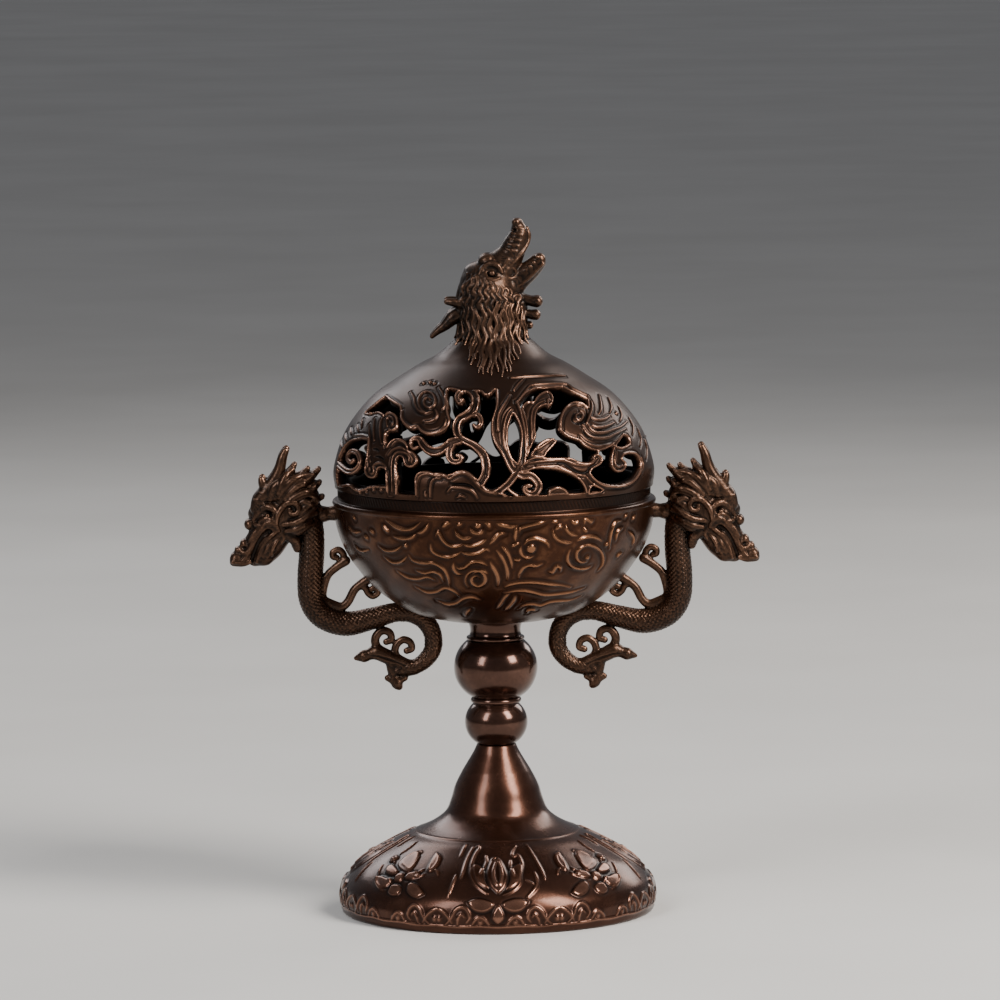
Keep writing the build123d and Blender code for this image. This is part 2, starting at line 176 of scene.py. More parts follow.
def turned(outline, columns):
    """A surface of revolution: points and outward normals, one row per outline point.

    Column 0 is the front's left.
    """
    p = np.asarray(outline, float)
    tangent = np.gradient(p, axis=0)
    tangent /= np.linalg.norm(tangent, axis=1)[:, None] + 1e-12
    a = -math.pi / 2 + 2 * math.pi * np.arange(columns) / columns
    ring, out = np.stack([np.sin(a), -np.cos(a)], 1), np.column_stack([tangent[:, 1], -tangent[:, 0]])
    points = np.concatenate([p[:, None, :1] * ring, np.repeat(p[:, 1, None, None], columns, 1)], axis=2)
    normals = np.concatenate([out[:, None, :1] * ring, np.repeat(out[:, 1, None, None], columns, 1)],
                             axis=2)
    return points, normals


def ring_quads(rows, columns, closed=False):
    """Quads between the rows of a turned grid, wound outwards for an outline that runs upwards."""
    i, j = np.meshgrid(np.arange(rows - (not closed)), np.arange(columns), indexing="ij")
    k, m = (i + 1) % rows, (j + 1) % columns
    quads = np.stack([i * columns + j, i * columns + m, k * columns + m, k * columns + j], axis=-1)
    return quads.reshape(-1, 4)


def on_turned(outline):
    """Wraps elevation points (x, z) onto the front of a turned surface."""
    p = np.asarray(outline, float)
    order = np.argsort(p[:, 1], kind="stable")
    z_known, r_known = p[order, 1], p[order, 0]

    def wrap(points):
        x, z = np.asarray(points, float).T
        r = np.maximum(np.interp(z, z_known, r_known), 1e-3)
        x = np.clip(x, -0.999 * r, 0.999 * r)
        return np.column_stack([x, -np.sqrt(r * r - x * x), z])

    return wrap


def both_halves(front):
    """A field worked out on the front half's columns, repeated on the back half."""
    return np.concatenate([front, front], axis=1)


def cavity(height, columns_wrap, size=7):
    """How far each grid point stands above its neighbourhood, for wear on ridges and dirt in hollows."""
    def blur(values, axis, mode):
        pad = [(0, 0), (0, 0)]
        pad[axis] = (size, size)
        total = np.cumsum(np.pad(values, pad, mode=mode), axis=axis)
        high = np.take(total, np.arange(2 * size, values.shape[axis] + 2 * size), axis=axis)
        low = np.take(total, np.arange(0, values.shape[axis]), axis=axis)
        return (high - low) / (2 * size)
    return height - blur(blur(height, 0, "edge"), 1, "wrap" if columns_wrap else "edge")


# ==================================================================================================
# Materials
# ==================================================================================================


class Nodes:
    """A small helper that adds shader nodes and links them."""

    def __init__(self, name):
        self.material = bpy.data.materials.new(name)
        self.material.use_nodes = True
        self.tree = self.material.node_tree
        self.shader = self.tree.nodes["Principled BSDF"]

    def add(self, kind, inputs=None, **settings):
        node = self.tree.nodes.new(kind)
        for key, value in settings.items():
            setattr(node, key, value)
        for key, value in (inputs or {}).items():
            if isinstance(value, bpy.types.NodeSocket):
                self.tree.links.new(value, node.inputs[key])
            else:
                node.inputs[key].default_value = value
        return node

    def math(self, operation, a, b):
        return self.add("ShaderNodeMath", {0: a, 1: b}, operation=operation).outputs[0]

    def noise(self, scale, detail=4.0, roughness=0.6):
        where = self.add("ShaderNodeTexCoord").outputs["Object"]
        node = self.add("ShaderNodeTexNoise", {"Vector": where, "Scale": scale, "Detail": detail,
                                               "Roughness": roughness})
        return node.outputs["Fac"]

    def ramp(self, value, stops):
        node = self.add("ShaderNodeValToRGB", {"Fac": value})
        band = node.color_ramp.elements
        while len(band) < len(stops):
            band.new(0.5)
        for element, (place, colour) in zip(band, stops):
            element.position = place
            element.color = (*colour, 1)
        return node.outputs["Color"]

    def bump(self, height, strength, distance):
        return self.add("ShaderNodeBump", {"Height": height, "Strength": strength,
                                           "Distance": distance}).outputs["Normal"]

    def to_shader(self, **inputs):
        for key, value in inputs.items():
            socket = self.shader.inputs[key.replace("_", " ")]
            if isinstance(value, bpy.types.NodeSocket):
                self.tree.links.new(value, socket)
            else:
                socket.default_value = value
        return self.material


def bronze(name, hollow, skin, ridge, rough=(0.24, 0.42), coat=0.12):
    """Patinated bronze: near black in hollows, brown over the skin and copper on the worn ridges."""
    n = Nodes(name)
    # the point attribute holds wear, and painted shade on the bowl's band under the lid
    wear_and_shade = n.add("ShaderNodeAttribute", attribute_name="wear_and_shade").outputs["Fac"]
    patches = n.noise(110, 5, 0.62)
    speckle = n.noise(1500, 3, 0.6)
    drift = n.math("MULTIPLY", n.math("SUBTRACT", patches, 0.5), 0.34)
    wear_and_shade_level = n.math("ADD", n.math("ADD", wear_and_shade, drift), n.math("MULTIPLY", n.math("SUBTRACT", speckle, 0.5),
                                                            0.14))
    colour = n.ramp(wear_and_shade_level, [(0.18, hollow), (0.5, skin), (0.86, ridge)])
    low, high = rough
    haze = n.math("ADD", n.math("MULTIPLY", patches, (high - low)), low)
    dull = n.math("MULTIPLY", n.math("SUBTRACT", 0.5, wear_and_shade), 0.3)
    roughness = n.math("MAXIMUM", n.math("ADD", haze, dull), 0.14)
    grain = n.math("ADD", n.math("MULTIPLY", speckle, 0.5), n.noise(420, 3, 0.5))
    return n.to_shader(Base_Color=colour, Roughness=roughness, Normal=n.bump(grain, 0.16, 0.00012),
                       Metallic=0.85,
                       Coat_Weight=coat, Coat_Roughness=0.16, IOR=1.45)


def turned_steel(name):
    """Plain zinc-plated fastener steel, lightly brushed and spotted."""
    n = Nodes(name)
    spots = n.noise(600, 4, 0.6)
    colour = n.ramp(spots, [(0.3, (0.34, 0.34, 0.36)), (0.55, (0.55, 0.55, 0.57)),
                            (0.8, (0.66, 0.66, 0.67))])
    roughness = n.math("ADD", n.math("MULTIPLY", spots, 0.3), 0.2)
    return n.to_shader(Base_Color=colour, Roughness=roughness,
                       Normal=n.bump(n.noise(3000, 2), 0.2, 0.00005), Metallic=1.0)


def dull_brass(name):
    """Turned brass dulled by ash and heat."""
    n = Nodes(name)
    ash = n.noise(260, 5, 0.65)
    colour = n.ramp(ash, [(0.3, (0.18, 0.1, 0.04)), (0.52, (0.5, 0.33, 0.12)), (0.78, (0.62, 0.46, 0.22))])
    roughness = n.math("ADD", n.math("MULTIPLY", ash, 0.35), 0.22)
    return n.to_shader(Base_Color=colour, Roughness=roughness,
                       Normal=n.bump(n.noise(2000, 2), 0.2, 0.00006), Metallic=1.0)


def mineral_fibre(name):
    """Pressed off-white fibre, matted and scorched in patches."""
    n = Nodes(name)
    tufts = n.noise(900, 6, 0.75)
    colour = n.ramp(tufts, [(0.25, (0.42, 0.36, 0.28)), (0.5, (0.72, 0.68, 0.6)), (0.8, (0.86, 0.84, 0.8))])
    return n.to_shader(Base_Color=colour, Roughness=0.95, Normal=n.bump(tufts, 0.7, 0.0004),
                       Sheen_Weight=0.2)


LID_BRONZE = bronze("lid_bronze", (0.008, 0.005, 0.004), (0.044, 0.019, 0.01), (0.27, 0.14, 0.092),
                    rough=(0.25, 0.42), coat=0.03)
BOWL_BRONZE = bronze("bowl_bronze", (0.01, 0.004, 0.002), (0.04, 0.013, 0.0045), (0.21, 0.094, 0.046),
                     rough=(0.22, 0.38), coat=0.06)
DRAGON_BRONZE = bronze("dragon_bronze", (0.01, 0.006, 0.004), (0.07, 0.034, 0.019), (0.27, 0.145, 0.092),
                       coat=0.06)
FOOT_BRONZE = bronze("foot_bronze", (0.012, 0.005, 0.003), (0.058, 0.022, 0.012), (0.22, 0.105, 0.068),
                     rough=(0.18, 0.34), coat=0.14)
STEM_BRONZE = bronze("stem_bronze", (0.014, 0.006, 0.004), (0.06, 0.026, 0.016), (0.24, 0.12, 0.08),
                     rough=(0.12, 0.22), coat=0.26)
STEEL = turned_steel("fastener_steel")
BRASS = dull_brass("holder_brass")
FIBRE = mineral_fibre("mat_fibre")


def finish_piece(piece, material, body, slot, *nodes):
    """Gives a piece its material and body, and lets it stand for CAD nodes. The slot is not used."""
    piece.data.materials.append(material)
    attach(piece, body)
    if nodes:
        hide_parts(*nodes)


def relief_piece(name, outer, inner, field, columns, material, body, slot, node, shade=None):
    """A closed cast shell: an outer outline raised by a height field, closed by a plain inner one."""
    points, normals = turned(outer, columns)
    half = columns // 2
    height = field(points[:, :half].reshape(-1, 3)).reshape(len(outer), half)
    height = both_halves(height)
    points = points + normals * height[..., None]
    hollow, _ = turned(inner, columns)
    everything = np.concatenate([points, hollow]).reshape(-1, 3)
    wear_and_shade_level = 0.5 + 1.5 * cavity(height, True)
    if shade:
        # painted shade: shade() lowers the colour level where the lid's shadow falls on the bowl's band
        wear_and_shade_level = wear_and_shade_level + shade(points[..., 2])
    wear_and_shade = np.concatenate([wear_and_shade_level.ravel(), np.full(hollow.shape[0] * columns, 0.2)])
    quads = ring_quads(len(outer) + len(inner), columns, closed=True)
    piece = make_mesh(name, everything, quads, wear_and_shade=np.clip(wear_and_shade, 0, 1))
    finish_piece(piece, material, body, slot, node)
    return piece


# ==================================================================================================
# Lid: openwork of clouds, vines and leaves
# ==================================================================================================

CROWN_R, FINIAL_BORE = 8.2, 3.05  # the flat that the finial stands on, and its screw's hole
DOME = smooth([(34.3, LID_SEAT), (34.5, 96.5), (32.4, 103.4), (29.2, 108.4), (25.2, 112.6), (20.3, 115.9),
               (16.0, 118.6),
               (11.9, 120.8), (CROWN_R, LID_TOP)], 12)
WRAP_DOME = on_turned(DOME)
LID_WALL = 1.9
CEILING = 119.5
PLAIN_ROWS = 12  # rows of the grid next to the flat that carry no relief
INSIDE_R = 15.0  # the thin wall's inner surface runs up to this radius
HOLLOW_DEPTH = 0.25  # how far the metal drops beside an opening

# The air behind the openwork, clockwise from its lower left corner, as runs that meet at corners.
OPEN_AREA = [
    [(-33.4, 93.7), (-33.6, 96.6)],
    [(-33.6, 96.6), (-33.3, 98.8), (-32.6, 100.6), (-31.7, 102.0), (-30.6, 103.1), (-29.2, 103.8),
     (-28.0, 104.1), (-26.4, 104.2)],
    [(-26.4, 104.2), (-24.0, 104.2)],
    [(-24.0, 104.2), (-24.0, 109.0)],
    [(-24.0, 109.0), (-27.2, 109.2)],
    [(-27.2, 109.2), (-23.1, 112.6)],
    [(-23.1, 112.6), (-20.0, 111.2)],
    [(-20.0, 111.2), (-14.0, 109.0)],
    [(-14.0, 109.0), (-9.7, 113.2)],
    [(-9.7, 113.2), (-9.6, 114.8), (-8.9, 115.0), (-6.0, 114.6), (-3.0, 114.7), (-2.2, 114.2),
     (-1.0, 114.0), (-0.2, 114.4)],
    [(-0.2, 114.4), (0.5, 115.0)],
    [(0.5, 115.0), (4.6, 112.2)],
    [(4.6, 112.2), (5.6, 112.6), (7.0, 114.0), (8.2, 114.7), (9.4, 115.0)],
    [(9.4, 115.0), (14.8, 114.9)],
    [(14.8, 114.9), (16.4, 114.1)],
    [(16.4, 114.1), (20.0, 112.3)],
    [(20.0, 112.3), (20.1, 110.9)],
    [(20.1, 110.9), (18.9, 111.8), (17.5, 112.2), (16.0, 111.9), (14.8, 110.9), (14.1, 109.6),
     (13.8, 108.3), (14.0, 107.0),
     (14.8, 106.0), (15.8, 105.3), (17.1, 104.8), (18.2, 104.4)],
    [(18.2, 104.4), (19.0, 103.5), (20.0, 102.8), (21.1, 102.3), (22.3, 102.0), (23.4, 102.1),
     (24.7, 102.4), (25.5, 102.7)],
    [(25.5, 102.7), (25.1, 101.4), (24.9, 100.0), (25.0, 98.7), (25.7, 97.6), (26.7, 97.1), (27.7, 97.3),
     (28.3, 98.2),
     (28.1, 99.2), (27.5, 99.8)],
    [(27.5, 99.8), (27.9, 100.4), (29.2, 100.5), (30.5, 100.0), (31.2, 98.8), (31.3, 97.4), (30.6, 96.1),
     (29.6, 95.2),
     (28.3, 94.7), (26.8, 94.5), (25.0, 94.8), (23.2, 95.4)],
    [(23.2, 95.4), (21.0, 93.5)],
    [(21.0, 93.5), (-22.2, 93.5)],
    [(-22.2, 93.5), (-22.4, 95.2)],
    [(-22.4, 95.2), (-24.0, 95.2), (-25.5, 95.1), (-26.9, 94.7), (-28.0, 94.1), (-29.0, 93.8),
     (-29.9, 93.9), (-30.6, 94.4),
     (-31.4, 94.5), (-32.4, 94.0), (-33.4, 93.7)],
]

CLOUD_UPPER_LEFT = [
    [(-19.9, 110.4), (-20.0, 109.2), (-19.5, 108.2), (-18.6, 107.4), (-17.4, 107.0), (-16.2, 107.3)],
    [(-16.2, 107.3), (-15.5, 106.6), (-14.3, 106.1), (-13.0, 106.1), (-11.5, 106.5), (-10.3, 107.2),
     (-9.4, 108.2),
     (-9.1, 109.3), (-9.4, 110.4), (-9.6, 111.3)],
    [(-9.6, 111.3), (-9.4, 112.4), (-9.7, 113.6), (-10.4, 114.7), (-11.4, 115.7)],
    [(-11.4, 115.7), (-19.5, 115.0)],
    [(-19.5, 115.0), (-20.0, 111.2)],
    [(-20.0, 111.2), (-19.9, 110.4)],
]
LEAVES_LEFT = [
    [(-28.4, 107.6), (-27.2, 108.9), (-25.4, 109.6), (-24.2, 109.9), (-23.1, 109.5)],
    [(-23.1, 109.5), (-22.3, 110.0), (-21.2, 110.0), (-20.4, 109.3), (-20.1, 108.1), (-20.4, 107.0),
     (-21.2, 106.4), (-22.2, 106.3)],
    [(-22.2, 106.3), (-22.8, 105.5), (-22.8, 104.4), (-22.6, 103.5)],
    [(-22.6, 103.5), (-21.8, 104.6), (-20.6, 105.2), (-19.2, 105.1), (-18.2, 104.2), (-17.9, 103.1)],
    [(-17.9, 103.1), (-17.1, 102.7), (-16.4, 101.9), (-16.1, 100.8), (-16.6, 99.9), (-17.7, 99.3),
     (-18.8, 99.6), (-19.2, 100.4)],
    [(-19.2, 100.4), (-19.4, 101.1), (-20.0, 101.4), (-20.5, 100.7), (-20.6, 99.2), (-20.4, 97.2),
     (-20.5, 95.2), (-20.5, 92.6)],
    [(-20.5, 92.6), (-22.9, 92.6)],
    [(-22.9, 92.6), (-22.8, 95.2), (-22.9, 97.2), (-23.2, 98.4), (-24.0, 98.8), (-24.6, 98.4),
     (-24.8, 97.6)],
    [(-24.8, 97.6), (-25.3, 96.7), (-26.2, 96.4), (-27.2, 96.8), (-27.6, 97.9), (-27.5, 99.2),
     (-27.1, 100.4), (-26.8, 102.0),
     (-26.6, 104.4)],
    [(-26.6, 104.4), (-28.4, 104.4)],
    [(-28.4, 104.4), (-28.4, 107.6)],
]
CLOUD_LOWER = [
    [(-16.8, 92.6), (-16.9, 95.4), (-16.9, 97.0), (-16.4, 98.2), (-15.3, 98.8), (-13.9, 98.9),
     (-12.8, 98.6)],
    [(-12.8, 98.6), (-11.9, 98.7), (-10.9, 98.6), (-9.9, 98.3)],
    [(-9.9, 98.3), (-8.9, 98.6), (-7.9, 99.1), (-6.5, 99.3), (-5.1, 98.8), (-4.0, 97.9), (-3.0, 97.1),
     (-2.3, 96.2),
     (-1.6, 95.4), (-0.6, 95.0), (0.4, 95.2)],
    [(0.4, 95.2), (3.4, 93.4)],
    [(3.4, 93.4), (4.0, 92.6)],
    [(4.0, 92.6), (-16.8, 92.6)],
]
TULIP = [
    [(0.5, 116.0), (0.5, 112.4), (0.0, 110.6), (-0.5, 109.1), (-0.6, 107.6), (-0.4, 106.2), (0.1, 104.8),
     (0.8, 103.6),
     (1.6, 102.4), (2.2, 101.1), (2.8, 99.8), (3.8, 98.2)],
    [(3.8, 98.2), (5.0, 98.2)],
    [(5.0, 98.2), (6.6, 99.9)],
    [(6.6, 99.9), (7.0, 101.8), (7.1, 103.7), (7.0, 105.6), (6.8, 107.6), (6.3, 109.7), (5.8, 111.4),
     (5.2, 112.8)],
    [(5.2, 112.8), (4.2, 115.0)],
    [(4.2, 115.0), (0.5, 116.0)],
]
CURLING_BLADE = [
    [(5.8, 111.4), (6.3, 112.2), (7.0, 112.7), (7.7, 112.8)],
    [(7.7, 112.8), (8.5, 112.7), (9.2, 113.6), (10.4, 114.3), (11.6, 114.5), (12.6, 113.8), (12.9, 112.9),
     (12.6, 111.9),
     (11.9, 111.5), (11.2, 111.9)],
    [(11.2, 111.9), (10.4, 111.6), (9.7, 111.2), (9.2, 110.2), (9.0, 108.8), (9.0, 107.2), (9.1, 106.1),
     (8.7, 104.8),
     (7.9, 103.4), (7.4, 101.6)],
    [(7.4, 101.6), (6.6, 101.6)],
    [(6.6, 101.6), (6.9, 104.0), (6.9, 106.6), (6.6, 109.0), (5.8, 111.4)],
]
LANCE_LEAF = [
    [(7.6, 101.6), (8.2, 103.0), (9.1, 104.1), (10.3, 104.9), (11.6, 105.4), (12.8, 105.3), (13.5, 104.7)],
    [(13.5, 104.7), (13.1, 104.1), (12.3, 103.3), (11.4, 102.4), (10.8, 101.4)],
    [(10.8, 101.4), (7.6, 101.6)],
]
BRANCHES_RIGHT = [
    [(5.0, 99.6), (6.8, 101.2)],
    [(6.8, 101.2), (8.8, 101.8), (10.9, 101.6), (12.8, 101.5), (15.0, 101.4), (16.6, 101.1), (18.0, 100.4),
     (19.4, 100.1),
     (20.4, 100.1), (21.0, 100.6)],
    [(21.0, 100.6), (21.1, 101.3), (21.8, 101.6), (22.7, 101.2), (23.2, 100.2), (22.9, 99.3), (21.9, 98.8),
     (21.0, 98.4),
     (20.6, 97.7)],
    [(20.6, 97.7), (21.1, 97.0), (22.1, 96.1), (23.3, 95.4), (25.0, 94.8)],
    [(25.0, 94.8), (27.0, 94.0)],
    [(27.0, 94.0), (27.0, 92.6)],
    [(27.0, 92.6), (19.4, 92.6)],
    [(19.4, 92.6), (19.3, 93.8), (19.0, 94.9), (18.2, 96.2), (16.8, 97.3), (15.4, 98.0), (14.1, 98.5),
     (12.6, 98.9),
     (11.0, 99.1), (9.6, 99.2), (8.3, 99.1), (7.3, 98.7)],
    [(7.3, 98.7), (5.2, 98.5)],
    [(5.2, 98.5), (5.0, 99.6)],
]
FAN = [
    [(11.2, 93.2), (11.6, 94.6), (12.3, 95.1), (13.4, 95.4), (14.6, 95.1), (15.5, 94.4), (16.2, 93.2)],
    [(16.2, 93.2), (11.2, 93.2)],
]
SOLID_AREAS = [CLOUD_UPPER_LEFT, LEAVES_LEFT, CLOUD_LOWER, TULIP, CURLING_BLADE, LANCE_LEAF,
               BRANCHES_RIGHT, FAN]

# Openings through the solid parts: the slit in the tulip and two small triangles at the right.
SMALL_HOLES = [
    [[(4.3, 110.4), (3.7, 109.3), (3.2, 107.8), (3.1, 106.2), (3.1, 104.7), (3.5, 103.1), (4.1, 101.6),
      (4.9, 100.7)],
     [(4.9, 100.7), (5.3, 101.8), (5.5, 103.4), (5.7, 105.2), (5.7, 106.8), (5.4, 108.2), (4.9, 109.4),
      (4.3, 110.4)]],
    [[(26.2, 102.6), (27.9, 104.4)],
     [(27.9, 104.4), (28.6, 104.0), (28.9, 103.4), (29.0, 102.8)],
     [(29.0, 102.8), (28.2, 102.4), (27.2, 102.3), (26.2, 102.6)]],
    [[(20.3, 93.6), (20.5, 94.4), (21.1, 94.8)],
     [(21.1, 94.8), (22.8, 93.8)],
     [(22.8, 93.8), (20.3, 93.6)]],
]

# Vines and hooks that cross the air: (half widths along the stroke, points).
VINES = [
    ((0.5, 0.6, 0.75, 0.95, 1.05, 1.1, 1.0, 0.85, 0.8, 0.85, 1.0, 1.05, 1.05, 1.0),
     [(-6.4, 113.1), (-7.2, 112.7), (-7.7, 113.6), (-7.0, 114.7), (-5.7, 115.1), (-4.2, 114.4),
      (-3.7, 113.0), (-4.3, 111.4),
      (-5.6, 110.3), (-7.1, 109.4), (-7.8, 108.2), (-7.8, 107.0), (-7.2, 105.9), (-5.8, 105.1),
      (-4.3, 104.4), (-2.9, 103.3),
      (-2.0, 102.0), (-1.7, 100.6), (-1.6, 99.2), (-2.0, 97.9), (-2.8, 96.6)]),
    ((0.65, 0.65, 0.6, 0.5, 0.4), [(-4.8, 110.4), (-3.4, 110.4), (-2.7, 109.5), (-2.7, 108.4),
                                   (-3.5, 107.9), (-4.2, 108.4)]),
    ((1.0, 1.0, 1.05, 1.05, 0.9, 0.7, 0.5, 0.42, 0.42),
     [(-7.4, 105.2), (-9.0, 104.9), (-10.3, 103.9), (-11.5, 103.1), (-12.8, 102.9), (-14.0, 103.3),
      (-15.0, 104.2),
      (-15.7, 105.2), (-16.6, 105.4), (-17.5, 104.8), (-17.6, 103.9), (-17.0, 103.3), (-16.2, 103.6)]),
    ((0.95, 0.8, 0.7, 0.6, 0.5), [(-8.8, 104.6), (-9.4, 103.2), (-9.4, 101.8), (-8.5, 100.9),
                                  (-7.3, 101.0), (-6.9, 101.9),
                                  (-7.7, 102.2)]),
    ((0.75, 0.7, 0.65, 0.6, 0.5), [(-34.0, 98.2), (-32.8, 97.6), (-31.4, 97.1), (-30.0, 97.5),
                                   (-28.9, 98.6), (-28.6, 100.0),
                                   (-29.2, 101.2), (-30.3, 101.4), (-31.2, 100.6), (-31.3, 99.6),
                                   (-30.6, 99.1), (-30.0, 99.6)]),
    ((0.85,), [(5.4, 99.4), (4.4, 98.0), (3.1, 96.4), (1.7, 95.2), (0.4, 94.2)]),
    ((0.8, 0.9, 0.9, 0.75, 0.6, 0.45), [(5.4, 98.2), (6.2, 97.9), (7.6, 97.9), (8.8, 97.0), (9.5, 95.7),
                                        (9.1, 94.5), (8.0, 94.0),
                                        (7.0, 94.3), (6.5, 95.1), (7.0, 95.7), (7.8, 95.7)]),
    ((0.35,), [(3.0, 95.2), (3.8, 94.4), (5.0, 93.6)]),
    ((0.28,), [(22.2, 102.3), (22.2, 101.4)]),
]

